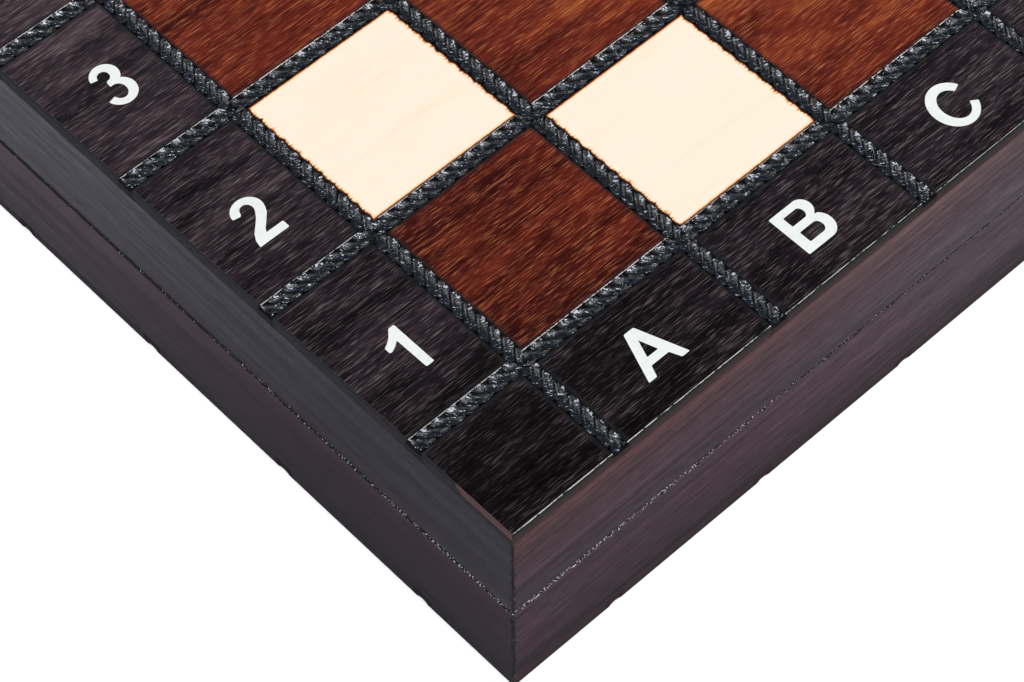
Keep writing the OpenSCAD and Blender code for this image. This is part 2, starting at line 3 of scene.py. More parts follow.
import bpy
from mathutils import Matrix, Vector


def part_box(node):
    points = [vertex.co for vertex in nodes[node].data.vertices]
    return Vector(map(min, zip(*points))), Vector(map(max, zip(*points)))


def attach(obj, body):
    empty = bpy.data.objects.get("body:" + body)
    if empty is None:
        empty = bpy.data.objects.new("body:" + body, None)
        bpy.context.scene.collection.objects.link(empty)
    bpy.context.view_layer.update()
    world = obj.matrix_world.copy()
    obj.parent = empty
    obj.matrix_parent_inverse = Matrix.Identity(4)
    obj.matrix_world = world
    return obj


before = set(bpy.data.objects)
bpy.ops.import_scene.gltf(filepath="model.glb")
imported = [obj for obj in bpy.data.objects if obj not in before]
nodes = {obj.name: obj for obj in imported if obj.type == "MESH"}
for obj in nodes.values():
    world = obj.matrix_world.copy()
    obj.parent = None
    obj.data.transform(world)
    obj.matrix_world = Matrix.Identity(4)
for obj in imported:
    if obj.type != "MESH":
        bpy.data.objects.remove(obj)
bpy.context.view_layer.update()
mm = 0.001

# Folding chess case, closed. The CAD nodes are the panels, rails, hinges, latch, dividers and men.
# Blender adds their finishes, the scorched rope relief in the grooves and the painted coordinates.

board = {
    "square": 32 * mm,
    "fileStart": -128 * mm,  # left edge of file A
    "rankStart": -53.85 * mm,  # front edge of the outer rank
    "fileLines": 9,
    "rankLines": 4,
    "seamHeight": 21.6 * mm,
    "grooveHalf": 1.5,  # mm, half the width of a rope groove
}
panelLow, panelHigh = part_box("upper_board_panel")
halves = {"upper": "upper_half", "lower": "lower_half"}


def toLinear(hexColour):
    channels = [int(hexColour[i:i + 2], 16) / 255 for i in (1, 3, 5)]
    return [c / 12.92 if c <= 0.04045 else ((c + 0.055) / 1.055) ** 2.4 for c in channels] + [1]


def addNode(tree, kind, settings=None, inputs=None):
    node = tree.nodes.new("ShaderNode" + kind)
    for name, value in (settings or {}).items():
        if name == "ramp":
            stops = node.color_ramp.elements
            while len(stops) < len(value):
                stops.new(0.5)
            for stop, (place, colour) in zip(stops, value):
                stop.position = place
                stop.color = toLinear(colour)
        else:
            setattr(node, name, value)
    for socket, value in (inputs or {}).items():
        if isinstance(value, bpy.types.NodeSocket):
            tree.links.new(value, node.inputs[socket])
        elif isinstance(value, str):
            node.inputs[socket].default_value = toLinear(value)
        else:
            node.inputs[socket].default_value = value
    return node.outputs


def newMaterial(name):
    material = bpy.data.materials.new(name)
    material.use_nodes = True
    tree = material.node_tree
    tree.nodes.clear()
    return material, tree


def dress(names, material):
    for name in names:
        piece = nodes[name]
        piece.data.materials.clear()
        piece.data.materials.append(material)


def selectOnly(*pieces):
    bpy.ops.object.select_all(action="DESELECT")
    for piece in pieces:
        piece.select_set(True)
    if pieces:
        bpy.context.view_layer.objects.active = pieces[0]


def editVertices(piece, isWanted):
    bpy.ops.object.mode_set(mode="EDIT")
    bpy.ops.mesh.select_all(action="DESELECT")
    bpy.ops.object.mode_set(mode="OBJECT")
    for vertex in piece.data.vertices:
        vertex.select = isWanted(vertex)
    bpy.ops.object.mode_set(mode="EDIT")


def joinPieces(name, pieces):
    selectOnly(*pieces)
    bpy.ops.object.join()
    joined = bpy.context.object
    joined.name = name
    return joined


# camera, fitted to the rope crossings, edges and corner in the photograph
view = {
    "place": (-0.306275, -0.244941, 0.427684),
    "turn": (34.582, 0.3573, -43.2234),
    "lens": 114.064,
    "sensor": 36,
    "clip": 0.01,
}
camera = bpy.data.objects.new("photoCamera", bpy.data.cameras.new("photoCamera"))
bpy.context.scene.collection.objects.link(camera)
camera.location = view["place"]
camera.rotation_euler = [radians(a) for a in view["turn"]]
camera.data.lens = view["lens"]
camera.data.sensor_width = view["sensor"]
camera.data.clip_start = view["clip"]
bpy.context.scene.camera = camera
print("camera set")

# Plywood board: birch face veneer, stained in squares, scorched along the pressed rope lines, satin varnish.
# In the settings a range is written with the sockets of a Map Range node: 1 and 2 come out as 3 and 4.
plywood = {
    "border": [(0.0, "#040203"), (0.3, "#0d080b"), (0.62, "#2c2228"), (1.0, "#5c4e52")],
    "borderFleck": "#75696b",
    "stained": [(0.0, "#160301"), (0.35, "#390d09"), (0.7, "#702718"), (1.0, "#b0602f")],
    "stainedFleck": "#bd7448",
    "pale": [(0.0, "#feeed7"), (0.4, "#fff0da"), (1.0, "#fff1de")],
    "scorch": [(0.0, "#140603"), (0.18, "#42170a"), (0.34, "#a05426"), (0.52, "#edb67c"),
               (0.72, "#fde3c2"), (1.0, "#ffffff")],
    "groove": "#08090c",
    # colour of the painted glints on the groove lips and the front arris
    "glint": "#d6d2d0",
    "edge": "#232927",
    "edgeLow": "#452e30",  # the front edge is redder towards the rail
    "edgeSide": "#2c2b30",
    "edgeWorn": "#6b4c4c",  # where the stain is rubbed thin near the front left corner
    # noise scales, detail, and weight in the tone of the stain
    "grain": {
        "line": ((60, 3200, 900), 3, 0.5),  # grain lines of about 17 by 0.3 mm
        "streak": ((60, 330, 300), 4, 0.8),  # tone streaks of about 17 by 3 mm
        "cloud": ((13, 42, 40), 3, 1),  # uneven stain, patches of about 77 by 24 mm
        "fleck": ((340, 7400, 900), 2, 0.9),  # pores of about 3 by 0.14 mm
    },
    "tone": {1: -0.2, 2: 4, 3: -1.37, 4: -0.8},  # by squares from A1's corner: lighter towards the middle, partly thinner stain and partly painted sheen of the varnish
    "leftTone": {1: 0, 2: 1.5, 3: 0.08, 4: -0.04},  # the border is paler on the left
    "poreRows": 0.4,  # how far the pores keep to the grain lines
    "pore": {1: 0.78, 2: 0.87},
    "stainedPore": 0.55,  # strength of the pores in the stained squares
    "calm": {1: 0.25, 2: 0.65},  # the pale squares show only the streaks
    # scorched rims, in mm from a groove
    "ragged": 900,  # noise of about 1.1 mm
    "scallop": (2.75, 0.22),  # pitch, one to a strand, and depth
    "endRim": (0.3, 0.02),  # across the grain: raggedness and offset
    "sideRim": (0.25, -0.1),  # along the grain
    "char": (700, 4300, 900),  # burnt streaks of about 1.4 by 0.23 mm
    "charLength": {1: 0.45, 2: 0.75, 3: 0.4, 4: 1.3},
    "sideWidth": 0.55,
    "darkRim": (0.5, 1.3, 0.95, 0),  # on the stained squares: partly scorch, partly painted shade beside the grooves
    "darkRagged": 1.1,
    "floorEdge": 0.06,
    # painted glints on the lips of the grooves and the arris of the front edge, in squares
    "lipWidth": 0.0019,
    "lipBreaks": 0.49,
    "arrisBreaks": {1: 0.38, 2: 0.52},
    "arrisWidth": {1: -0.6, 2: 2.4, 3: 0.0038, 4: 0.0014},  # fading from left to right
    # edges of the plywood, in squares below the face
    "redness": {1: 0.012, 2: 0.05},
    "wornDepth": {1: -0.32, 2: -0.26, 3: 0.034, 4: 0},  # only near the front left corner
    "grooveDeep": 0.027,
    "grooveClear": 0.08,  # mm, beside a groove
    "gloss": {1: 0.3, 2: 0.7, 3: 0.26, 4: 0.38},
    "burntAndShadedMatt": 0.55,  # added to the roughness where the wood is burnt and on the painted shade of the dark rim
    "poreDepth": 0.1 * mm,
    "lipRadius": 0.07 * mm,
}


def boardPlywood():
    material, tree = newMaterial("satinVarnishedBirchPlywood")
    place = addNode(tree, "TexCoord")["Object"]
    # position in squares from the corner of A1, with the lower half one step down
    scale = 1 / board["square"]
    cell = addNode(tree, "Mapping", {}, {"Vector": place, "Scale": (scale,) * 3, "Location": (
        -board["fileStart"] * scale, -board["rankStart"] * scale, -board["seamHeight"] * scale)})[0]
    position = addNode(tree, "SeparateXYZ", {}, {0: cell})
    # squares from the nearest rope line; there is none along the hinges
    capped = addNode(tree, "VectorMath", {"operation": "MINIMUM"}, {
        0: cell, 1: (99, board["rankLines"] - 0.5, 99)})[0]
    shifted = addNode(tree, "VectorMath", {"operation": "ADD"}, {0: capped, 1: (0.5, 0.5, 0)})[0]
    part = addNode(tree, "VectorMath", {"operation": "FRACTION"}, {0: shifted})[0]
    centred = addNode(tree, "VectorMath", {"operation": "SUBTRACT"}, {0: part, 1: (0.5, 0.5, 0)})[0]
    signed = addNode(tree, "SeparateXYZ", {}, {0: centred})
    away = addNode(tree, "VectorMath", {"operation": "ABSOLUTE"}, {0: centred})[0]
    lineGap = addNode(tree, "VectorMath", {"operation": "SCALE"}, {0: away, "Scale": board["square"] / mm})[0]
    gap = addNode(tree, "SeparateXYZ", {}, {0: lineGap})  # the same in mm

    # squares and border
    whole = addNode(tree, "VectorMath", {"operation": "FLOOR"}, {0: cell})[0]
    total = addNode(tree, "VectorMath", {"operation": "DOT_PRODUCT"}, {0: whole, 1: (1, 1, 1)})["Value"]
    parity = addNode(tree, "Math", {"operation": "FLOORED_MODULO"}, {0: total, 1: 2})[0]
    inFiles = addNode(tree, "Math", {"operation": "COMPARE"}, {0: position[0], 1: 4, 2: 4})[0]
    inRanks = addNode(tree, "Math", {"operation": "GREATER_THAN"}, {0: position[1], 1: 0})[0]
    onBoard = addNode(tree, "Math", {"operation": "MULTIPLY"}, {0: inFiles, 1: inRanks})[0]
    isPale = addNode(tree, "Math", {"operation": "MULTIPLY"}, {0: parity, 1: onBoard})[0]
    notPale = addNode(tree, "Math", {"operation": "SUBTRACT"}, {0: 1, 1: isPale})[0]

    # grain along X
    grain = {}
    # partly painted sheen: the tone of the stain rises away from A1's corner
    inward = addNode(tree, "VectorMath", {"operation": "DOT_PRODUCT"}, {0: cell, 1: (1, 1, 0)})["Value"]
    tone = addNode(tree, "MapRange", {}, {0: inward, **plywood["tone"]})[0]
    for layer, (scales, detail, weight) in plywood["grain"].items():
        spot = addNode(tree, "Mapping", {}, {"Vector": place, "Scale": scales})[0]
        grain[layer] = addNode(tree, "TexNoise", {}, {"Vector": spot, "Scale": 1, "Detail": detail})[0]
        tone = addNode(tree, "Math", {"operation": "MULTIPLY_ADD"}, {0: grain[layer], 1: weight, 2: tone})[0]
    pore = addNode(tree, "Math", {"operation": "MULTIPLY_ADD"}, {
        0: grain["line"], 1: plywood["poreRows"], 2: grain["fleck"]})[0]
    pore = addNode(tree, "MapRange", {}, {0: pore, **plywood["pore"]})[0]
    leftTone = addNode(tree, "MapRange", {}, {0: position[0], **plywood["leftTone"]})[0]
    leftTone = addNode(tree, "Math", {"operation": "ADD"}, {0: tone, 1: leftTone})[0]
    border = addNode(tree, "ValToRGB", {"ramp": plywood["border"]}, {0: leftTone})[0]
    faint = addNode(tree, "Math", {"operation": "MULTIPLY"}, {0: pore, 1: tone})[0]
    border = addNode(tree, "Mix", {"data_type": "RGBA"}, {0: faint, 6: border, 7: plywood["borderFleck"]})[2]
    stained = addNode(tree, "ValToRGB", {"ramp": plywood["stained"]}, {0: tone})[0]
    faint = addNode(tree, "Math", {"operation": "MULTIPLY"}, {0: pore, 1: plywood["stainedPore"]})[0]
    stained = addNode(tree, "Mix", {"data_type": "RGBA"}, {
        0: faint, 6: stained, 7: plywood["stainedFleck"]})[2]
    calm = addNode(tree, "MapRange", {}, {0: grain["streak"], **plywood["calm"]})[0]
    pale = addNode(tree, "ValToRGB", {"ramp": plywood["pale"]}, {0: calm})[0]

    # scorch round the pale squares: a scalloped rim, drawn out in fine streaks where it meets the end grain
    half = board["grooveHalf"]
    ragged = addNode(tree, "TexNoise", {}, {
        "Vector": place, "Scale": plywood["ragged"], "Detail": 3, "Roughness": 0.7})[0]
    pitch, depth = plywood["scallop"]
    wave = addNode(tree, "SeparateXYZ", {}, {0: place})["Y"]
    wave = addNode(tree, "Math", {"operation": "MULTIPLY"}, {0: wave, 1: pi / (pitch * mm)})[0]
    wave = addNode(tree, "Math", {"operation": "SINE"}, {0: wave})[0]
    wave = addNode(tree, "Math", {"operation": "ABSOLUTE"}, {0: wave})[0]
    raggedness, offset = plywood["endRim"]
    endRim = addNode(tree, "Math", {"operation": "MULTIPLY_ADD"}, {0: wave, 1: -depth, 2: half + offset})[0]
    endRim = addNode(tree, "Math", {"operation": "MULTIPLY_ADD"}, {0: ragged, 1: raggedness, 2: endRim})[0]
    char = addNode(tree, "Mapping", {}, {"Vector": place, "Scale": plywood["char"]})[0]
    char = addNode(tree, "TexNoise", {}, {"Vector": char, "Scale": 1, "Detail": 2})[0]
    char = addNode(tree, "MapRange", {}, {0: char, **plywood["charLength"]})[0]
    endGap = addNode(tree, "Math", {"operation": "SUBTRACT"}, {0: gap[0], 1: endRim})[0]
    endShare = addNode(tree, "Math", {"operation": "DIVIDE"}, {0: endGap, 1: char})[0]
    raggedness, offset = plywood["sideRim"]
    sideRim = addNode(tree, "Math", {"operation": "MULTIPLY_ADD"}, {
        0: ragged, 1: raggedness, 2: half + offset})[0]
    sideGap = addNode(tree, "Math", {"operation": "SUBTRACT"}, {0: gap[1], 1: sideRim})[0]
    sideShare = addNode(tree, "Math", {"operation": "DIVIDE"}, {0: sideGap, 1: plywood["sideWidth"]})[0]
    scorchAt = addNode(tree, "Math", {"operation": "SMOOTH_MIN"}, {0: endShare, 1: sideShare, 2: 0.4})[0]
    scorch = addNode(tree, "ValToRGB", {"ramp": plywood["scorch"]}, {0: scorchAt})[0]
    pale = addNode(tree, "Mix", {"data_type": "RGBA", "blend_type": "MULTIPLY"}, {0: 1, 6: pale, 7: scorch})[2]
    squares = addNode(tree, "Mix", {"data_type": "RGBA"}, {0: onBoard, 6: border, 7: stained})[2]
    squares = addNode(tree, "Mix", {"data_type": "RGBA"}, {0: isPale, 6: squares, 7: pale})[2]

    # burnt groove floor, with a soft dark rim on the stained squares that is partly scorch and partly painted
    # shade
    nearest = addNode(tree, "Math", {"operation": "SMOOTH_MIN"}, {0: gap[0], 1: gap[1], 2: 0.6})[0]
    rim = addNode(tree, "Math", {"operation": "MULTIPLY_ADD"}, {
        0: ragged, 1: plywood["darkRagged"], 2: nearest})[0]
    start, end, dark, clear = plywood["darkRim"]
    rim = addNode(tree, "MapRange", {}, {0: rim, 1: half + start, 2: half + end, 3: dark, 4: clear})[0]
    rim = addNode(tree, "Math", {"operation": "MULTIPLY"}, {0: rim, 1: notPale})[0]
    inGroove = addNode(tree, "Math", {"operation": "LESS_THAN"}, {
        0: nearest, 1: half - plywood["floorEdge"]})[0]
    burntAndShaded = addNode(tree, "Math", {"operation": "MAXIMUM"}, {0: rim, 1: inGroove})[0]
    squares = addNode(tree, "Mix", {"data_type": "RGBA"}, {0: burntAndShaded, 6: squares, 7: plywood["groove"]})[2]

    # painted glints where the varnish runs over the lips of the grooves
    lipAt = half * mm / board["square"]
    onLip = addNode(tree, "Math", {"operation": "COMPARE"}, {
        0: signed["Y"], 1: lipAt, 2: plywood["lipWidth"]})[0]
    broken = addNode(tree, "Math", {"operation": "GREATER_THAN"}, {0: ragged, 1: plywood["lipBreaks"]})[0]
    for limit in (broken, notPale, onBoard):
        onLip = addNode(tree, "Math", {"operation": "MULTIPLY"}, {0: onLip, 1: limit})[0]
    squares = addNode(tree, "Mix", {"data_type": "RGBA"}, {0: onLip, 6: squares, 7: plywood["glint"]})[2]

    # stained edges of the plywood, but not the walls of the grooves
    facing = addNode(tree, "SeparateXYZ", {}, {0: addNode(tree, "TexCoord")["Normal"]})
    upright = addNode(tree, "Math", {"operation": "ABSOLUTE"}, {0: facing["Z"]})[0]
    isEdge = addNode(tree, "Math", {"operation": "LESS_THAN"}, {0: upright, 1: 0.9})[0]
    reach = (panelHigh.z - board["seamHeight"]) / board["square"]
    drop = addNode(tree, "Math", {"operation": "ABSOLUTE"}, {0: position[2]})[0]
    drop = addNode(tree, "Math", {"operation": "SUBTRACT"}, {0: reach, 1: drop})[0]
    beside = addNode(tree, "Math", {"operation": "GREATER_THAN"}, {
        0: nearest, 1: half + plywood["grooveClear"]})[0]
    below = addNode(tree, "Math", {"operation": "GREATER_THAN"}, {0: drop, 1: plywood["grooveDeep"]})[0]
    clear = addNode(tree, "Math", {"operation": "MAXIMUM"}, {0: beside, 1: below})[0]
    isEdge = addNode(tree, "Math", {"operation": "MULTIPLY"}, {0: isEdge, 1: clear})[0]
    low = addNode(tree, "MapRange", {}, {0: drop, **plywood["redness"]})[0]
    front = addNode(tree, "Mix", {"data_type": "RGBA"}, {
        0: low, 6: plywood["edge"], 7: plywood["edgeLow"]})[2]
    wearAndSheen = addNode(tree, "MapRange", {}, {0: position[1], **plywood["wornDepth"]})[0]
    wearAndSheen = addNode(tree, "Math", {"operation": "GREATER_THAN"}, {0: wearAndSheen, 1: drop})[0]
    isUpper = addNode(tree, "Math", {"operation": "GREATER_THAN"}, {0: position[2], 1: 0})[0]
    wearAndSheen = addNode(tree, "Math", {"operation": "MULTIPLY"}, {0: wearAndSheen, 1: isUpper})[0]
    side = addNode(tree, "Mix", {"data_type": "RGBA"}, {
        0: wearAndSheen, 6: plywood["edgeSide"], 7: plywood["edgeWorn"]})[2]
    sideways = addNode(tree, "Math", {"operation": "ABSOLUTE"}, {0: facing["X"]})[0]
    edge = addNode(tree, "Mix", {"data_type": "RGBA"}, {0: sideways, 6: front, 7: side})[2]
    colour = addNode(tree, "Mix", {"data_type": "RGBA"}, {0: isEdge, 6: squares, 7: edge})[2]

    # painted highlight along the arris of the front edge
    fading = addNode(tree, "MapRange", {}, {0: position[0], **plywood["arrisWidth"]})[0]
    onArris = addNode(tree, "MapRange", {}, {0: ragged, **plywood["arrisBreaks"], 3: 0, 4: fading})[0]
    onArris = addNode(tree, "Math", {"operation": "LESS_THAN"}, {0: drop, 1: onArris})[0]
    isFront = addNode(tree, "Math", {"operation": "LESS_THAN"}, {0: facing["Y"], 1: -0.5})[0]
    onArris = addNode(tree, "Math", {"operation": "MULTIPLY"}, {0: onArris, 1: isFront})[0]
    colour = addNode(tree, "Mix", {"data_type": "RGBA"}, {0: onArris, 6: colour, 7: plywood["glint"]})[2]

    gloss = addNode(tree, "MapRange", {}, {0: grain["streak"], **plywood["gloss"]})[0]
    gloss = addNode(tree, "Math", {"operation": "MULTIPLY_ADD"}, {
        0: burntAndShaded, 1: plywood["burntAndShadedMatt"], 2: gloss})[0]
    # edges and groove lips are softened by the varnish and catch the light
    lip = addNode(tree, "Bevel", {"samples": 8}, {"Radius": plywood["lipRadius"]})[0]
    bump = addNode(tree, "Bump", {}, {
        "Strength": 0.25, "Distance": plywood["poreDepth"], "Height": pore, "Normal": lip})[0]
    shader = addNode(tree, "BsdfPrincipled", {}, {
        "Base Color": colour, "Roughness": gloss, "IOR": 1.5, "Specular IOR Level": 0.2, "Normal": bump})[0]
    addNode(tree, "OutputMaterial", {}, {"Surface": shader})
    return material


dress(["upper_board_panel", "lower_board_panel"], boardPlywood())
print("board panels finished")

# Case rails: beech under a dark violet-brown stain and satin varnish, chipped along the seam and the mitres;
# the chips carry painted glints, and a painted sheen lightens the rails away from the front corners
rails = {
    "long": {
        # tones by height, from the lower board to the upper board
        "tones": [(0.0, "#231d22"), (0.12, "#372730"), (0.3, "#43303a"), (0.49, "#412f39"), (0.52, "#3f333c"),
                  (0.75, "#45333a"), (0.93, "#4f3335")],
        "turn": 0,
        "cornerDistance": {1: 0, 2: 0.085, 3: 1.1, 4: 1.78},  # tone of the painted sheen, by metres from the front corners
        "figure": {"line": {1: 0.32, 2: 0.7, 3: 0.68, 4: 1.38}, "pore": {1: 0.32, 2: 0.7, 3: 0.62, 4: 1.45},
                   "hair": {1: 0.3, 2: 0.35, 3: 0.66, 4: 1}},
        "bruise": (0.26 * mm, 0.8 * mm),  # least and most width
        "thinned": 0.6,  # share of that width away from the corners
        "chipGlints": 0.55,  # the noise makes a pale chip with a painted glint above this
    },
    "side": {
        "tones": [(0.0, "#222024"), (0.2, "#30262c"), (0.38, "#342830"), (0.48, "#3a292e"), (0.52, "#34323a"),
                  (0.93, "#36353d")],
        "turn": 90,
        "cornerDistance": {1: 0.045, 2: 0.12, 3: 1.1, 4: 2.6},
        "figure": {"line": {1: 0.32, 2: 0.7, 3: 0.84, 4: 1.18}, "pore": {1: 0.32, 2: 0.7, 3: 0.72, 4: 1.35}},
        "bruise": (0.5 * mm, 1.15 * mm),
        "thinned": 1,
        "chipGlints": 0.6,
    },
    "dark": "#08070a",
    # pale chips of bare wood, lightened to a painted glint
    "chipGlint": "#d6cfd2",
    # noise scales and detail
    "grain": {
        "streak": ((8, 420, 420), 4),  # tone streaks of about 125 by 2.4 mm
        "line": ((26, 2300, 2300), 3),  # grain lines of about 38 by 0.4 mm
        "pore": ((240, 3400, 3400), 2),  # pores of about 4 by 0.3 mm
        "hair": ((5, 1400, 1400), 0),  # dark hairlines 0.7 mm apart or more
    },
    "wander": 0.12,  # how far the streaks carry a tone up or down
    "streaks": {1: 0.3, 2: 0.7, 3: 0.8, 4: 1.2},
    # by metres from the front corners; the saturation is part of the painted sheen
    "saturation": {1: 0.05, 2: 0.12, 3: 1, 4: 0.62},
    "thinning": {1: 0.03, 2: 0.13},
    "chipGlintFading": {1: 0.02, 2: 0.13},
    "fewerChipGlints": 0.14,
    "mitreChipGlints": 0.15,  # chips, with their painted glints, are rarer on the mitres than along the seam
    "mitreBruise": (0.85, -0.09 * mm),  # scale and shift of the gap to a mitred corner
    "ragged": {1: 0.4, 2: 0.66},
    "raggedScale": 1500,  # 0.7 mm
    "gritScale": 4000,  # 0.25 mm
    "poreDepth": 0.1 * mm,
    "lipRadius": 0.08 * mm,
}
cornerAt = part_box("lower_front_rail")[0]  # the front left corner


def railWood(name, kind):
    material, tree = newMaterial(name)
    coordinates = addNode(tree, "TexCoord")
    place = coordinates["Object"]
    position = addNode(tree, "SeparateXYZ", {}, {0: place})
    # the Mapping node turns after it scales, so the noise gets a turned place
    turned = addNode(tree, "Mapping", {}, {"Vector": place, "Rotation": (0, 0, radians(kind["turn"]))})[0]
    grain = {}
    for layer, (scales, detail) in rails["grain"].items():
        spot = addNode(tree, "Mapping", {}, {"Vector": turned, "Scale": scales})[0]
        grain[layer] = addNode(tree, "TexNoise", {}, {"Vector": spot, "Scale": 1, "Detail": detail})[0]
    height = addNode(tree, "MapRange", {}, {0: position["Z"], 1: 0, 2: 2 * board["seamHeight"]})[0]
    height = addNode(tree, "Math", {"operation": "MULTIPLY_ADD"}, {
        0: grain["streak"], 1: rails["wander"], 2: height})[0]
    height = addNode(tree, "Math", {"operation": "SUBTRACT"}, {0: height, 1: rails["wander"] / 2})[0]
    colour = addNode(tree, "ValToRGB", {"ramp": kind["tones"]}, {0: height})[0]
    shade = addNode(tree, "MapRange", {}, {0: grain["streak"], **rails["streaks"]})[0]
    for layer, limits in kind["figure"].items():
        part = addNode(tree, "MapRange", {}, {0: grain[layer], **limits})[0]
        shade = addNode(tree, "Math", {"operation": "MULTIPLY"}, {0: shade, 1: part})[0]
    colour = addNode(tree, "VectorMath", {"operation": "SCALE"}, {0: colour, "Scale": shade})[0]

    # painted sheen of the satin varnish: the colour gets lighter and greyer away from the front corners
    cornerDistance = addNode(tree, "VectorMath", {"operation": "DISTANCE"}, {0: place, 1: cornerAt})["Value"]
    other = (-cornerAt.x, cornerAt.y, cornerAt.z)
    other = addNode(tree, "VectorMath", {"operation": "DISTANCE"}, {0: place, 1: other})["Value"]
    cornerDistance = addNode(tree, "Math", {"operation": "MINIMUM"}, {0: cornerDistance, 1: other})[0]
    wearAndSheen = addNode(tree, "MapRange", {}, {0: cornerDistance, **kind["cornerDistance"]})[0]
    colour = addNode(tree, "VectorMath", {"operation": "SCALE"}, {0: colour, "Scale": wearAndSheen})[0]
    paled = addNode(tree, "MapRange", {}, {0: cornerDistance, **rails["saturation"]})[0]
    colour = addNode(tree, "HueSaturation", {}, {"Color": colour, "Saturation": paled})[0]

    # dark bruises on the outside along the seam and the mitred corners
    fromSeam = addNode(tree, "Math", {"operation": "SUBTRACT"}, {0: position["Z"], 1: board["seamHeight"]})[0]
    fromSeam = addNode(tree, "Math", {"operation": "ABSOLUTE"}, {0: fromSeam})[0]
    spot = addNode(tree, "VectorMath", {"operation": "ABSOLUTE"}, {0: place})[0]
    spot = addNode(tree, "VectorMath", {"operation": "SUBTRACT"}, {
        0: (-cornerAt.x, -cornerAt.y, 0), 1: spot})[0]
    spot = addNode(tree, "SeparateXYZ", {}, {0: spot})
    fromCorner = addNode(tree, "Math", {"operation": "MAXIMUM"}, {0: spot["X"], 1: spot["Y"]})[0]
    narrow, wide = kind["bruise"]
    slope, shift = rails["mitreBruise"]
    fromCorner = addNode(tree, "Math", {"operation": "MULTIPLY_ADD"}, {
        0: fromCorner, 1: slope, 2: narrow + shift})[0]
    fromEdge = addNode(tree, "Math", {"operation": "MINIMUM"}, {0: fromSeam, 1: fromCorner})[0]
    rough = addNode(tree, "TexNoise", {}, {
        "Vector": place, "Scale": rails["raggedScale"], "Detail": 3, "Roughness": 0.7})[0]
    bite = addNode(tree, "MapRange", {}, {0: rough, **rails["ragged"], 3: narrow, 4: wide})[0]
    thinner = addNode(tree, "MapRange", {}, {0: cornerDistance, **rails["thinning"], 3: 1, 4: kind["thinned"]})[0]
    bite = addNode(tree, "Math", {"operation": "MULTIPLY"}, {0: bite, 1: thinner})[0]
    isBruise = addNode(tree, "Math", {"operation": "LESS_THAN"}, {0: fromEdge, 1: bite})[0]
    upright = addNode(tree, "SeparateXYZ", {}, {0: coordinates["Normal"]})["Z"]
    upright = addNode(tree, "Math", {"operation": "ABSOLUTE"}, {0: upright})[0]
    isSide = addNode(tree, "Math", {"operation": "LESS_THAN"}, {0: upright, 1: 0.98})[0]
    isBruise = addNode(tree, "Math", {"operation": "MULTIPLY"}, {0: isBruise, 1: isSide})[0]
    colour = addNode(tree, "Mix", {"data_type": "RGBA"}, {0: isBruise, 6: colour, 7: rails["dark"]})[2]

    # pale chips in the bruises, lightened to near white as painted glints
    grit = addNode(tree, "TexNoise", {}, {"Vector": place, "Scale": rails["gritScale"], "Detail": 2})[0]
    least = kind["chipGlints"]
    limit = addNode(tree, "MapRange", {}, {
        0: cornerDistance, **rails["chipGlintFading"], 3: least, 4: least + rails["fewerChipGlints"]})[0]
    nearSeam = addNode(tree, "Math", {"operation": "LESS_THAN"}, {0: fromSeam, 1: bite})[0]
    rarer = addNode(tree, "Math", {"operation": "MULTIPLY_ADD"}, {
        0: nearSeam, 1: -rails["mitreChipGlints"], 2: rails["mitreChipGlints"]})[0]
    limit = addNode(tree, "Math", {"operation": "ADD"}, {0: limit, 1: rarer})[0]
    isChipGlint = addNode(tree, "Math", {"operation": "GREATER_THAN"}, {0: grit, 1: limit})[0]
    isChipGlint = addNode(tree, "Math", {"operation": "MULTIPLY"}, {0: isChipGlint, 1: isBruise})[0]
    colour = addNode(tree, "Mix", {"data_type": "RGBA"}, {0: isChipGlint, 6: colour, 7: rails["chipGlint"]})[2]

    lip = addNode(tree, "Bevel", {"samples": 8}, {"Radius": rails["lipRadius"]})[0]
    bump = addNode(tree, "Bump", {}, {
        "Strength": 0.2, "Distance": rails["poreDepth"], "Height": grain["pore"], "Normal": lip})[0]
    shader = addNode(tree, "BsdfPrincipled", {}, {
        "Base Color": colour, "Roughness": 0.38, "IOR": 1.5, "Specular IOR Level": 0.4, "Normal": bump})[0]
    addNode(tree, "OutputMaterial", {}, {"Surface": shader})
    return material


longRails = ["upper_front_rail", "upper_back_rail", "lower_front_rail", "lower_back_rail"]
sideRails = ["upper_left_rail", "upper_right_rail", "lower_left_rail", "lower_right_rail"]
dress(longRails, railWood("darkStainedBeechLong", rails["long"]))
dress(sideRails, railWood("darkStainedBeechShort", rails["side"]))
print("rails finished")

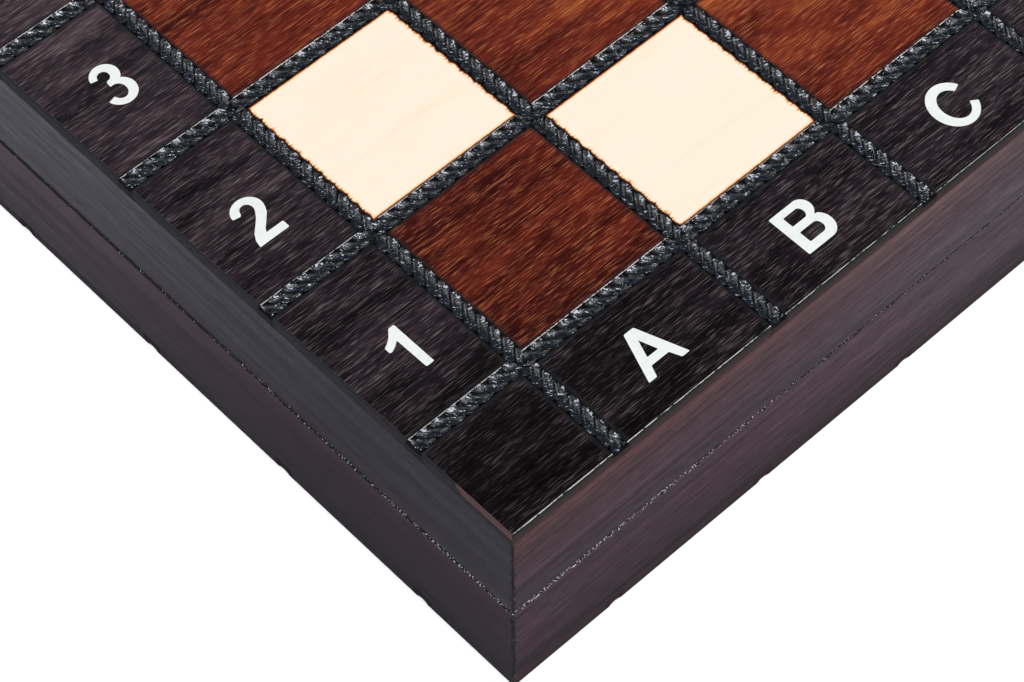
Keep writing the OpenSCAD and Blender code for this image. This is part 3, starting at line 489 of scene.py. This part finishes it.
# Rope relief: the print of a three-strand rope, burnt into every groove. It is the lower part of a twisted
# tube, seen from inside, so its strands read as hollows with sharp ridges between them.
rope = {
    "radius": 1.75 * mm,
    "rise": 1.03 * mm,  # of the tube's axis above the face
    "clear": 0.01 * mm,  # between the print and the face
    "lead": 8.25 * mm,  # one turn of the twist
    "strands": 3,
    "lean": 0.8594,  # slope of the strands in a groove; over 32 mm it makes ten strands, so it fits every line
    "corners": 36,
    "stepsPerTurn": 28,
    "outline": ((0, 0.8), (1, 0.9), (2, 0.96)),  # corners away from a ridge, and their share of the radius
    "inset": 0.35 * mm,  # from the edge of the panel
    "opening": {"Ranks": 0.92, "Files": 0.955},  # share of the radius that is cut out at a crossing
    "tones": [(0.0, "#010102"), (0.38, "#040508"), (0.5, "#0c1016"), (0.62, "#1c232e"), (1.0, "#3e4858")],
    # colour of the painted glints on the fibres
    "speck": "#dfe6f3",
    "fibre": (900, 3800, 1500),  # fibres of about 1.1 by 0.26 mm
    "grit": 3600,  # 0.28 mm
    "gritWeight": 0.5,
    "swellWeight": 0.06,  # painted shade: the middle of a strand is a little lighter, the ridge between two strands darker
    "glintSlope": {1: 0.4, 2: 0.65},
    "glintSwell": {1: -0.2, 2: 0.8},
    "speckLimit": {1: 0, 2: 1, 3: 0.64, 4: 0.49},
    "speckShare": {1: 0, 2: 0.08, 3: 0, 4: 0.95},
    "fibreDepth": 0.14 * mm,
}


def ropeFinish(name, slant, lit, start, run):
    material, tree = newMaterial(name)
    coordinates = addNode(tree, "TexCoord")
    place = coordinates["Object"]
    turned = addNode(tree, "Mapping", {}, {"Vector": place, "Rotation": (0, 0, slant)})[0]
    turned = addNode(tree, "Mapping", {}, {"Vector": turned, "Scale": rope["fibre"]})[0]
    fibre = addNode(tree, "TexNoise", {}, {"Vector": turned, "Scale": 1, "Detail": 3, "Roughness": 0.65})[0]
    grit = addNode(tree, "TexNoise", {}, {"Vector": place, "Scale": rope["grit"], "Detail": 2})[0]
    tone = addNode(tree, "Math", {"operation": "MULTIPLY_ADD"}, {
        0: grit, 1: rope["gritWeight"], 2: -rope["gritWeight"] / 2})[0]
    tone = addNode(tree, "Math", {"operation": "ADD"}, {0: tone, 1: fibre})[0]
    # bulge is 1 in the middle of a strand and -1 between two of them
    bulge = addNode(tree, "VectorMath", {"operation": "SUBTRACT"}, {0: place, 1: start})[0]
    bulge = addNode(tree, "VectorMath", {"operation": "DOT_PRODUCT"}, {0: bulge, 1: run})["Value"]
    bulge = addNode(tree, "Math", {"operation": "MULTIPLY"}, {
        0: bulge, 1: 2 * pi * rope["strands"] / rope["lead"]})[0]
    bulge = addNode(tree, "Math", {"operation": "COSINE"}, {0: bulge})[0]
    shaded = addNode(tree, "Math", {"operation": "MULTIPLY_ADD"}, {
        0: bulge, 1: rope["swellWeight"], 2: tone})[0]
    colour = addNode(tree, "ValToRGB", {"ramp": rope["tones"]}, {0: shaded})[0]
    # painted glints: pale specks on the fibres, mostly where a strand comes up on the slope that is turned
    # outwards
    slope = addNode(tree, "VectorMath", {"operation": "DOT_PRODUCT"}, {
        0: coordinates["Normal"], 1: lit})["Value"]
    slope = addNode(tree, "MapRange", {}, {0: slope, **rope["glintSlope"]})[0]
    swell = addNode(tree, "MapRange", {}, {0: bulge, **rope["glintSwell"]})[0]
    glintShare = addNode(tree, "Math", {"operation": "MULTIPLY"}, {0: slope, 1: swell})[0]
    least = addNode(tree, "MapRange", {}, {0: glintShare, **rope["speckLimit"]})[0]
    speck = addNode(tree, "Math", {"operation": "SUBTRACT"}, {0: tone, 1: least})[0]
    speck = addNode(tree, "MapRange", {}, {0: speck, **rope["speckShare"]})[0]
    colour = addNode(tree, "Mix", {"data_type": "RGBA"}, {0: speck, 6: colour, 7: rope["speck"]})[2]
    bump = addNode(tree, "Bump", {}, {"Strength": 0.7, "Distance": rope["fibreDepth"], "Height": tone})[0]
    shader = addNode(tree, "BsdfPrincipled", {}, {
        "Base Color": colour, "Roughness": 0.22, "IOR": 1.5, "Specular IOR Level": 0.4, "Normal": bump})[0]
    addNode(tree, "OutputMaterial", {}, {"Surface": shader})
    return material


def ropePrint(name, length):
    selectOnly()
    bpy.ops.mesh.primitive_circle_add(vertices=rope["corners"], radius=rope["radius"], location=(0, 0, 0))
    tube = bpy.context.object
    tube.name = name
    # pull the outline in between the strands
    lobe = rope["corners"] // rope["strands"]
    for reach, size in rope["outline"]:
        editVertices(tube, lambda vertex: vertex.index % lobe in (reach, (lobe - reach) % lobe))
        bpy.ops.transform.resize(value=(size, size, 1), center_override=(0, 0, 0))
    bpy.ops.object.mode_set(mode="OBJECT")
    screw = tube.modifiers.new("twist", "SCREW")
    screw.axis = "Z"
    screw.angle = -2 * pi
    screw.screw_offset = rope["lead"]
    screw.iterations = int(length / rope["lead"]) + 1
    screw.steps = screw.render_steps = rope["stepsPerTurn"]
    bpy.ops.object.modifier_apply(modifier="twist")
    # keep the part below the face, cut to length
    bpy.ops.object.mode_set(mode="EDIT")
    for place, normal in (((rope["rise"] + rope["clear"], 0, 0), (-1, 0, 0)), ((0, 0, length), (0, 0, 1))):
        bpy.ops.mesh.select_all(action="SELECT")
        bpy.ops.mesh.bisect(plane_co=place, plane_no=normal, clear_outer=True)
    bpy.ops.mesh.select_all(action="SELECT")
    bpy.ops.mesh.normals_make_consistent(inside=False)
    bpy.ops.object.mode_set(mode="OBJECT")
    return tube


def ropeSet(name, model, places, turn):
    copies = []
    for place in places:
        line = model.copy()
        line.data = model.data.copy()
        bpy.context.scene.collection.objects.link(line)
        line.location = place
        line.rotation_euler = turn
        copies.append(line)
    lines = joinPieces(name, copies)
    bpy.ops.object.transform_apply(location=True, rotation=True, scale=True)
    return lines


def openCrossings(piece, axis, places, level, share):
    # cuts away what would lie within the crossing rope; a thin overlap stays, so that no gap shows
    def isWithin(vertex):
        gap = min(abs(vertex.co[axis] - place) for place in places)
        drop = vertex.co.z - level
        return gap * gap + drop * drop < (share * rope["radius"]) ** 2

    selectOnly(piece)
    editVertices(piece, isWithin)
    bpy.ops.mesh.delete(type="VERT")
    bpy.ops.object.mode_set(mode="OBJECT")
    bpy.ops.object.shade_smooth_by_angle(angle=radians(35))


longPrint = ropePrint("longRopePrint", panelHigh.x - panelLow.x - 2 * rope["inset"])
crossPrint = ropePrint("crossRopePrint", panelHigh.y - panelLow.y - 2 * rope["inset"])
# the middle line of a strand: a point on it, and how the pattern runs on from it
strandAt = rope["inset"] + rope["lead"] / rope["strands"] / 4
rankStart = (panelLow.x + strandAt, board["rankStart"], 0)
fileStart = (board["fileStart"], panelLow.y + strandAt, 0)
finishes = {}
for half, below, flip in (("upper", "", 1), ("lower", "Below", -1)):
    slant, slope = radians(flip * 45), flip * rope["lean"]
    finishes["Ranks", half] = ropeFinish(
        "burntRopePrintRanks" + below, slant, (0, -1, 0), rankStart, (1, slope, 0))
    finishes["Files", half] = ropeFinish(
        "burntRopePrintFiles" + below, slant, (-1, 0, 0), fileStart, (-slope, 1, 0))
files = [board["fileStart"] + i * board["square"] for i in range(board["fileLines"])]
ranks = [board["rankStart"] + i * board["square"] for i in range(board["rankLines"])]
for half, body in halves.items():
    low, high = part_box(half + "_board_panel")
    isUpper = half == "upper"
    level = high.z + rope["rise"] if isUpper else low.z - rope["rise"]
    tilt = pi / 2 if isUpper else -pi / 2
    rankPlaces = [(low.x + rope["inset"], y, level) for y in ranks]
    filePlaces = [(x, low.y + rope["inset"], level) for x in files]
    alongRanks = ropeSet(half + "RopesAlongRanks", longPrint, rankPlaces, (0 if isUpper else pi, tilt, 0))
    alongFiles = ropeSet(half + "RopesAlongFiles", crossPrint, filePlaces, (-pi / 2, tilt, 0))
    openCrossings(alongRanks, 0, files, level, rope["opening"]["Ranks"])
    openCrossings(alongFiles, 1, ranks, level, rope["opening"]["Files"])
    for piece, lines in ((alongRanks, "Ranks"), (alongFiles, "Files")):
        piece.data.materials.append(finishes[lines, half])
        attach(piece, body)
bpy.data.objects.remove(longPrint)
bpy.data.objects.remove(crossPrint)
print("rope relief made")

# Painted coordinates: white enamel, outlines in units of the height of a capital
paint = {
    "letterHeight": 8.45 * mm,
    "figureHeight": 8.65 * mm,
    "thickness": 0.03 * mm,
    "softness": 0.022,  # corner radius
    "arcStep": 9,  # degrees
    "curveEdge": 0.09,  # shorter edges belong to an arc, and the corners between them stay
    "tones": [(0.0, "#dfe5e3"), (0.45, "#eef3f1"), (1.0, "#f8fbfa")],
    "wear": 900,  # 1.1 mm
    # middles, in squares from the corner of A1
    "letterPlaces": [(0.463, -0.339), (1.48, -0.339), (2.484, -0.329), (3.48, -0.335), (4.47, -0.338),
                     (5.48, -0.336), (6.48, -0.331), (7.47, -0.338)],
    "figurePlaces": [(-0.338, 0.413), (-0.344, 1.43), (-0.312, 2.505), (-0.334, 3.45)],
}


def arc(x, y, rx, ry, start, end):
    steps = max(4, round(abs(end - start) / paint["arcStep"]))
    turns = [radians(start + (end - start) * i / steps) for i in range(steps + 1)]
    return [(x + rx * cos(t), y + ry * sin(t)) for t in turns]


signs = {
    "1": [[(0.27, 0), (0.44, 0), (0.435, 1), (0.31, 1), (0.275, 0.955), (0.19, 0.857), (0.09, 0.785), (0, 0.74),
           (0, 0.61), (0.05, 0.603), (0.16, 0.655), (0.258, 0.725)]],
    "2": [[(0, 0), (0.65, 0), (0.65, 0.17), (0.278, 0.17), (0.33, 0.25), (0.444, 0.365), (0.575, 0.505),
           (0.63, 0.615)] + arc(0.34, 0.745, 0.315, 0.285, -12, 178) + [(0.18, 0.722)]
          + arc(0.335, 0.745, 0.128, 0.14, 172, -15)
          + [(0.435, 0.65), (0.35, 0.525), (0.237, 0.41), (0.105, 0.28), (0.03, 0.15)]],
    "3": [arc(0.325, 0.745, 0.285, 0.275, 172, -48) + arc(0.325, 0.295, 0.32, 0.312, 52, -168)
          + arc(0.31, 0.31, 0.149, 0.178, -165, 92) + [(0.25, 0.485), (0.262, 0.61)]
          + arc(0.3, 0.745, 0.117, 0.12, -88, 178)],
    "4": [[(0.395, 0), (0.57, 0), (0.57, 0.2), (0.69, 0.2), (0.69, 0.36), (0.57, 0.36), (0.57, 1), (0.41, 1),
           (0, 0.36), (0, 0.2), (0.395, 0.2)], [(0.395, 0.36), (0.395, 0.69), (0.185, 0.36)]],
    "5": [[(0.12, 1), (0.6, 1), (0.6, 0.835), (0.265, 0.835), (0.24, 0.65)]
          + arc(0.31, 0.325, 0.325, 0.335, 92, -168) + arc(0.31, 0.325, 0.15, 0.185, -165, 140)
          + [(0.04, 0.47)]],
    "6": [arc(0.36, 0.5, 0.35, 0.51, 180, 38) + arc(0.36, 0.6, 0.18, 0.25, 30, 158)
          + arc(0.335, 0.32, 0.325, 0.33, 112, -178), arc(0.335, 0.32, 0.15, 0.18, 0, 351)],
    "7": [[(0, 1), (0.63, 1), (0.63, 0.865), (0.48, 0.64), (0.38, 0.42), (0.325, 0.2), (0.31, 0), (0.135, 0),
           (0.155, 0.2), (0.215, 0.42), (0.305, 0.63), (0.42, 0.835), (0, 0.835)]],
    "8": [arc(0.33, 0.75, 0.285, 0.265, -42, 222) + arc(0.33, 0.285, 0.325, 0.297, 138, 402),
          arc(0.33, 0.285, 0.15, 0.15, 0, 351), arc(0.33, 0.75, 0.12, 0.12, 0, 351)],
    "A": [[(0, 0), (0.188, 0), (0.278, 0.227), (0.69, 0.227), (0.79, 0), (0.97, 0), (0.6, 1), (0.37, 1)],
          [(0.346, 0.397), (0.476, 0.755), (0.605, 0.397)]],
    "B": [[(0, 0)] + arc(0.6, 0.3, 0.257, 0.3, -90, 55) + [(0.69, 0.548)]
          + arc(0.6, 0.77, 0.211, 0.23, -50, 90) + [(0, 1)],
          [(0.212, 0.18)] + arc(0.545, 0.312, 0.105, 0.132, -90, 90) + [(0.212, 0.444)],
          [(0.212, 0.613)] + arc(0.518, 0.732, 0.085, 0.119, -90, 90) + [(0.212, 0.851)]],
    "C": [arc(0.48, 0.536, 0.47, 0.528, 28, 333) + arc(0.5, 0.523, 0.276, 0.352, 338, 34)],
    "D": [[(0, 0)] + arc(0.4, 0.5, 0.47, 0.5, -90, 90) + [(0, 1)],
          [(0.212, 0.165)] + arc(0.385, 0.5, 0.275, 0.335, -90, 90) + [(0.212, 0.835)]],
    "E": [[(0, 0), (0.73, 0), (0.73, 0.165), (0.205, 0.165), (0.205, 0.425), (0.67, 0.425), (0.67, 0.585),
           (0.205, 0.585), (0.205, 0.835), (0.71, 0.835), (0.71, 1), (0, 1)]],
    "F": [[(0, 0), (0.205, 0), (0.205, 0.41), (0.6, 0.41), (0.6, 0.575), (0.205, 0.575), (0.205, 0.835),
           (0.67, 0.835), (0.67, 1), (0, 1)]],
    "G": [arc(0.48, 0.51, 0.47, 0.52, 38, 312)
          + [(0.92, 0.14), (0.92, 0.54), (0.52, 0.54), (0.52, 0.38), (0.735, 0.38), (0.735, 0.245)]
          + arc(0.49, 0.51, 0.275, 0.35, 305, 44)],
    "H": [[(0, 0), (0.205, 0), (0.205, 0.42), (0.59, 0.42), (0.59, 0), (0.795, 0), (0.795, 1), (0.59, 1),
           (0.59, 0.59), (0.205, 0.59), (0.205, 1), (0, 1)]],
}


def soften(loop):
    # cuts each corner short and rounds it
    rounded = []
    for i, point in enumerate(loop):
        corner = Vector(point)
        back = Vector(loop[i - 1]) - corner
        ahead = Vector(loop[(i + 1) % len(loop)]) - corner
        if max(back.length, ahead.length) < paint["curveEdge"]:
            rounded.append(corner)
            continue
        first = corner + back.normalized() * min(paint["softness"], back.length / 2)
        last = corner + ahead.normalized() * min(paint["softness"], ahead.length / 2)
        rounded += [first, (first + 2 * corner + last) / 4, last]
    return rounded


def paintSign(sign, place, half):
    loops = [soften(loop) for loop in signs[sign]]
    size = paint["letterHeight"] if sign.isalpha() else paint["figureHeight"]
    spans = list(zip(*loops[0]))
    middle = [(min(span) + max(span)) / 2 for span in spans]
    outline = bpy.data.curves.new("outline" + sign, "CURVE")
    outline.dimensions = "2D"
    outline.fill_mode = "BOTH"
    outline.extrude = paint["thickness"] / 2
    for loop in loops:
        spline = outline.splines.new("POLY")
        spline.points.add(len(loop) - 1)
        for point, (x, y) in zip(spline.points, loop):
            point.co = ((x - middle[0]) * size, (y - middle[1]) * size, 0, 1)
        spline.use_cyclic_u = True
    piece = bpy.data.objects.new("sign", outline)
    bpy.context.scene.collection.objects.link(piece)
    selectOnly(piece)
    bpy.ops.object.convert(target="MESH")
    piece = bpy.context.object
    x = board["fileStart"] + place[0] * board["square"]
    y = board["rankStart"] + place[1] * board["square"]
    piece.location = (x, y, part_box(half + "_board_panel")[1 if half == "upper" else 0].z)
    if half == "lower":
        piece.rotation_euler = (pi, 0, 0)
    bpy.ops.object.transform_apply(location=True, rotation=True, scale=True)
    return piece


def screenPrintedEnamel():
    material, tree = newMaterial("whiteScreenPrintedEnamel")
    place = addNode(tree, "TexCoord")["Object"]
    wear = addNode(tree, "TexNoise", {}, {"Vector": place, "Scale": paint["wear"], "Detail": 3})[0]
    tone = addNode(tree, "ValToRGB", {"ramp": paint["tones"]}, {0: wear})[0]
    shader = addNode(tree, "BsdfPrincipled", {}, {"Base Color": tone, "Roughness": 0.4, "IOR": 1.5})[0]
    addNode(tree, "OutputMaterial", {}, {"Surface": shader})
    return material


enamel = screenPrintedEnamel()
for half, body in halves.items():
    placed = list(zip("ABCDEFGH", paint["letterPlaces"]))
    for sign, (x, y) in zip("1234" if half == "upper" else "8765", paint["figurePlaces"]):
        placed += [(sign, (x, y)), (sign, (8 - x, y))]
    made = [paintSign(sign, square, half) for sign, square in placed]
    letters = joinPieces(half + "PaintedCoordinates", made)
    letters.data.materials.append(enamel)
    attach(letters, body)
print("coordinates painted")

# Felt: pressed green wool with a short nap
felt = {
    "tones": [(0.3, "#1c3a25"), (0.75, "#3d6b47")],
    "nap": 2600,  # fibres of 0.4 mm
    "lay": 60,  # patches of 17 mm
    "layWeight": 0.3,
    "napDepth": 0.3 * mm,
}


def pressedFelt():
    material, tree = newMaterial("pressedGreenFelt")
    place = addNode(tree, "TexCoord")["Object"]
    nap = addNode(tree, "TexNoise", {}, {
        "Vector": place, "Scale": felt["nap"], "Detail": 4, "Roughness": 0.7})[0]
    lay = addNode(tree, "TexNoise", {}, {"Vector": place, "Scale": felt["lay"], "Detail": 3})[0]
    tone = addNode(tree, "Math", {"operation": "MULTIPLY_ADD"}, {
        0: lay, 1: felt["layWeight"], 2: -felt["layWeight"] / 2})[0]
    tone = addNode(tree, "Math", {"operation": "ADD"}, {0: nap, 1: tone})[0]
    colour = addNode(tree, "ValToRGB", {"ramp": felt["tones"]}, {0: tone})[0]
    bump = addNode(tree, "Bump", {}, {"Strength": 0.7, "Distance": felt["napDepth"], "Height": nap})[0]
    shader = addNode(tree, "BsdfPrincipled", {}, {
        "Base Color": colour, "Roughness": 0.95, "Sheen Weight": 0.4, "Sheen Roughness": 0.5,
        "Normal": bump})[0]
    addNode(tree, "OutputMaterial", {}, {"Surface": shader})
    return material


feltFinish = pressedFelt()
dress(["upper_lining", "lower_lining"], feltFinish)

# Dividers: sanded birch, left natural
divider = {
    "tones": [(0.25, "#b98f5e"), (0.5, "#cda674"), (0.75, "#dcbb8c")],
    "grain": (40, 40, 900),  # lines of 25 by 1.1 mm
    "grainDepth": 0.1 * mm,
}


def dividerBirch():
    material, tree = newMaterial("sandedBirchStrip")
    place = addNode(tree, "TexCoord")["Object"]
    spot = addNode(tree, "Mapping", {}, {"Vector": place, "Scale": divider["grain"]})[0]
    grain = addNode(tree, "TexNoise", {}, {"Vector": spot, "Scale": 1, "Detail": 5, "Roughness": 0.6})[0]
    colour = addNode(tree, "ValToRGB", {"ramp": divider["tones"]}, {0: grain})[0]
    bump = addNode(tree, "Bump", {}, {"Strength": 0.15, "Distance": divider["grainDepth"], "Height": grain})[0]
    shader = addNode(tree, "BsdfPrincipled", {}, {
        "Base Color": colour, "Roughness": 0.6, "IOR": 1.5, "Normal": bump})[0]
    addNode(tree, "OutputMaterial", {}, {"Surface": shader})
    return material


dress(["cross_dividers", "middle_divider", "pawn_row_dividers"], dividerBirch())
print("lining and dividers finished")

# Brass: stamped and polished, a little dulled, brushed by the tumbling
brass = {
    "colour": "#cda75f",
    "dull": "#a3813f",
    "stain": 150,  # 7 mm
    "dulled": {1: 0.5, 2: 0.75, 3: 0, 4: 0.6},
    "roughness": {1: 0.35, 2: 0.7, 3: 0.26, 4: 0.38},
}


def dulledBrass():
    material, tree = newMaterial("dulledPolishedBrass")
    place = addNode(tree, "TexCoord")["Object"]
    stain = addNode(tree, "TexNoise", {}, {
        "Vector": place, "Scale": brass["stain"], "Detail": 5, "Roughness": 0.65})[0]
    share = addNode(tree, "MapRange", {}, {0: stain, **brass["dulled"]})[0]
    colour = addNode(tree, "Mix", {"data_type": "RGBA"}, {0: share, 6: brass["colour"], 7: brass["dull"]})[2]
    rough = addNode(tree, "MapRange", {}, {0: stain, **brass["roughness"]})[0]
    shader = addNode(tree, "BsdfPrincipled", {}, {"Base Color": colour, "Metallic": 1, "Roughness": rough})[0]
    addNode(tree, "OutputMaterial", {}, {"Surface": shader})
    return material


brassNodes = [name for name in nodes if "hinge" in name or name.startswith("latch")]
dress(brassNodes, dulledBrass())

# Men: turned and carved wood, lacquered, with a felt disc under the foot
men = {
    "light": {"name": "lacqueredHornbeam", "tones": [(0.25, "#c99a5c"), (0.5, "#dbb27a"), (0.75, "#e9c996")]},
    "dark": {"name": "lacqueredWalnutStain", "tones": [(0.25, "#2e130b"), (0.5, "#4a2113"), (0.75, "#6b3520")]},
    "grain": (700, 45, 700),  # lines of 22 by 1.4 mm; the men lie along Y
}


def menWood(side):
    material, tree = newMaterial(men[side]["name"])
    place = addNode(tree, "TexCoord")["Object"]
    spot = addNode(tree, "Mapping", {}, {"Vector": place, "Scale": men["grain"]})[0]
    grain = addNode(tree, "TexNoise", {}, {"Vector": spot, "Scale": 1, "Detail": 5, "Roughness": 0.6})[0]
    colour = addNode(tree, "ValToRGB", {"ramp": men[side]["tones"]}, {0: grain})[0]
    shader = addNode(tree, "BsdfPrincipled", {}, {
        "Base Color": colour, "Roughness": 0.38, "IOR": 1.5, "Coat Weight": 0.25, "Coat Roughness": 0.2})[0]
    addNode(tree, "OutputMaterial", {}, {"Surface": shader})
    return material


def feltDisc(piece):
    # the disc is the solid that reaches furthest out, towards the rail
    faces = piece.data.polygons
    spots = [tuple(round(x, 7) for x in vertex.co) for vertex in piece.data.vertices]
    facesAt = {}
    for face in faces:
        for i in face.vertices:
            facesAt.setdefault(spots[i], []).append(face.index)
    seed = max(faces, key=lambda face: abs(face.center.y)).index
    found, waiting = {seed}, [seed]
    while waiting:
        for i in faces[waiting.pop()].vertices:
            for index in facesAt.pop(spots[i], ()):
                if index not in found:
                    found.add(index)
                    waiting.append(index)
    return found


for side in ("light", "dark"):
    names = [name for name in nodes if name.startswith(side + "_")]
    dress(names, menWood(side))
    for name in names:
        nodes[name].data.materials.append(feltFinish)
        for index in feltDisc(nodes[name]):
            nodes[name].data.polygons[index].material_index = 1
print("men finished")

# Studio: pale floor, white surroundings, soft lamps
studio = {
    "lamps": [
        {"name": "frontSoftbox", "from": (0.42, -0.44, 0.8), "away": 1.2, "size": (0.35, 0.35), "power": 7},
        {"name": "leftSoftbox", "from": (-0.42, 0.42, 0.8), "away": 1.2, "size": (0.35, 0.35), "power": 4.8},
        {"name": "cameraSoftbox", "from": (-0.35, -0.4, 0.85), "away": 1.4, "size": (0.8, 0.8), "power": 5},
    ],
    "floorSize": 6,
    "floorHeight": -0.2 * mm,
    "floor": "#f4f4f4",
    "floorMirrored": "#8b878f",
    "floorGlow": {1: 0.4, 2: 1.2, 3: 0.46, 4: 1},  # the camera sees the floor fade to white away from the case
    "white": "#ffffff",
    # what the varnish mirrors, from the horizon to overhead
    "mirrored": [(0.0, "#a8a8b2"), (0.68, "#a2a2ae"), (0.84, "#1e1e22"), (1.0, "#1c1c20")],
    "ambient": 0.15,
}
for lamp in studio["lamps"]:
    light = bpy.data.lights.new(lamp["name"], "AREA")
    light.shape = "RECTANGLE"
    light.size, light.size_y = lamp["size"]
    light.energy = lamp["power"]
    holder = bpy.data.objects.new(lamp["name"], light)
    bpy.context.scene.collection.objects.link(holder)
    direction = Vector(lamp["from"]).normalized()
    holder.location = direction * lamp["away"]
    holder.rotation_euler = direction.to_track_quat("Z", "Y").to_euler()


def paleFloor():
    material, tree = newMaterial("paleStudioFloor")
    rays = addNode(tree, "LightPath")
    place = addNode(tree, "TexCoord")["Object"]
    away = addNode(tree, "VectorMath", {"operation": "LENGTH"}, {0: place})["Value"]
    glow = addNode(tree, "MapRange", {}, {0: away, **studio["floorGlow"]})[0]
    glow = addNode(tree, "Math", {"operation": "MULTIPLY"}, {0: rays["Is Camera Ray"], 1: glow})[0]
    colour = addNode(tree, "Mix", {"data_type": "RGBA"}, {
        0: rays["Is Glossy Ray"], 6: studio["floor"], 7: studio["floorMirrored"]})[2]
    shader = addNode(tree, "BsdfPrincipled", {}, {
        "Base Color": colour, "Roughness": 0.9, "Specular IOR Level": 0.1,
        "Emission Color": studio["white"], "Emission Strength": glow})[0]
    addNode(tree, "OutputMaterial", {}, {"Surface": shader})
    return material


selectOnly()
bpy.ops.mesh.primitive_plane_add(size=studio["floorSize"], location=(0, 0, studio["floorHeight"]))
floor = bpy.context.object
floor.name = "studioFloor"
bpy.ops.object.transform_apply(location=True)
floor.data.materials.append(paleFloor())

world = bpy.data.worlds.new("studio")
bpy.context.scene.world = world
world.use_nodes = True
tree = world.node_tree
tree.nodes.clear()
rays = addNode(tree, "LightPath")
heading = addNode(tree, "SeparateXYZ", {}, {0: addNode(tree, "TexCoord")["Generated"]})["Z"]
mirrored = addNode(tree, "ValToRGB", {"ramp": studio["mirrored"]}, {0: heading})[0]
mirror = addNode(tree, "Math", {"operation": "MAXIMUM"}, {
    0: rays["Is Glossy Ray"], 1: rays["Is Transmission Ray"]})[0]
ambient = [studio["ambient"]] * 3 + [1]
colour = addNode(tree, "Mix", {"data_type": "RGBA"}, {0: mirror, 6: ambient, 7: mirrored})[2]
colour = addNode(tree, "Mix", {"data_type": "RGBA"}, {
    0: rays["Is Camera Ray"], 6: colour, 7: studio["white"]})[2]
background = addNode(tree, "Background", {}, {"Color": colour, "Strength": 1})[0]
addNode(tree, "OutputWorld", {}, {"Surface": background})
bpy.context.scene.view_settings.view_transform = "Standard"
print("studio lit")
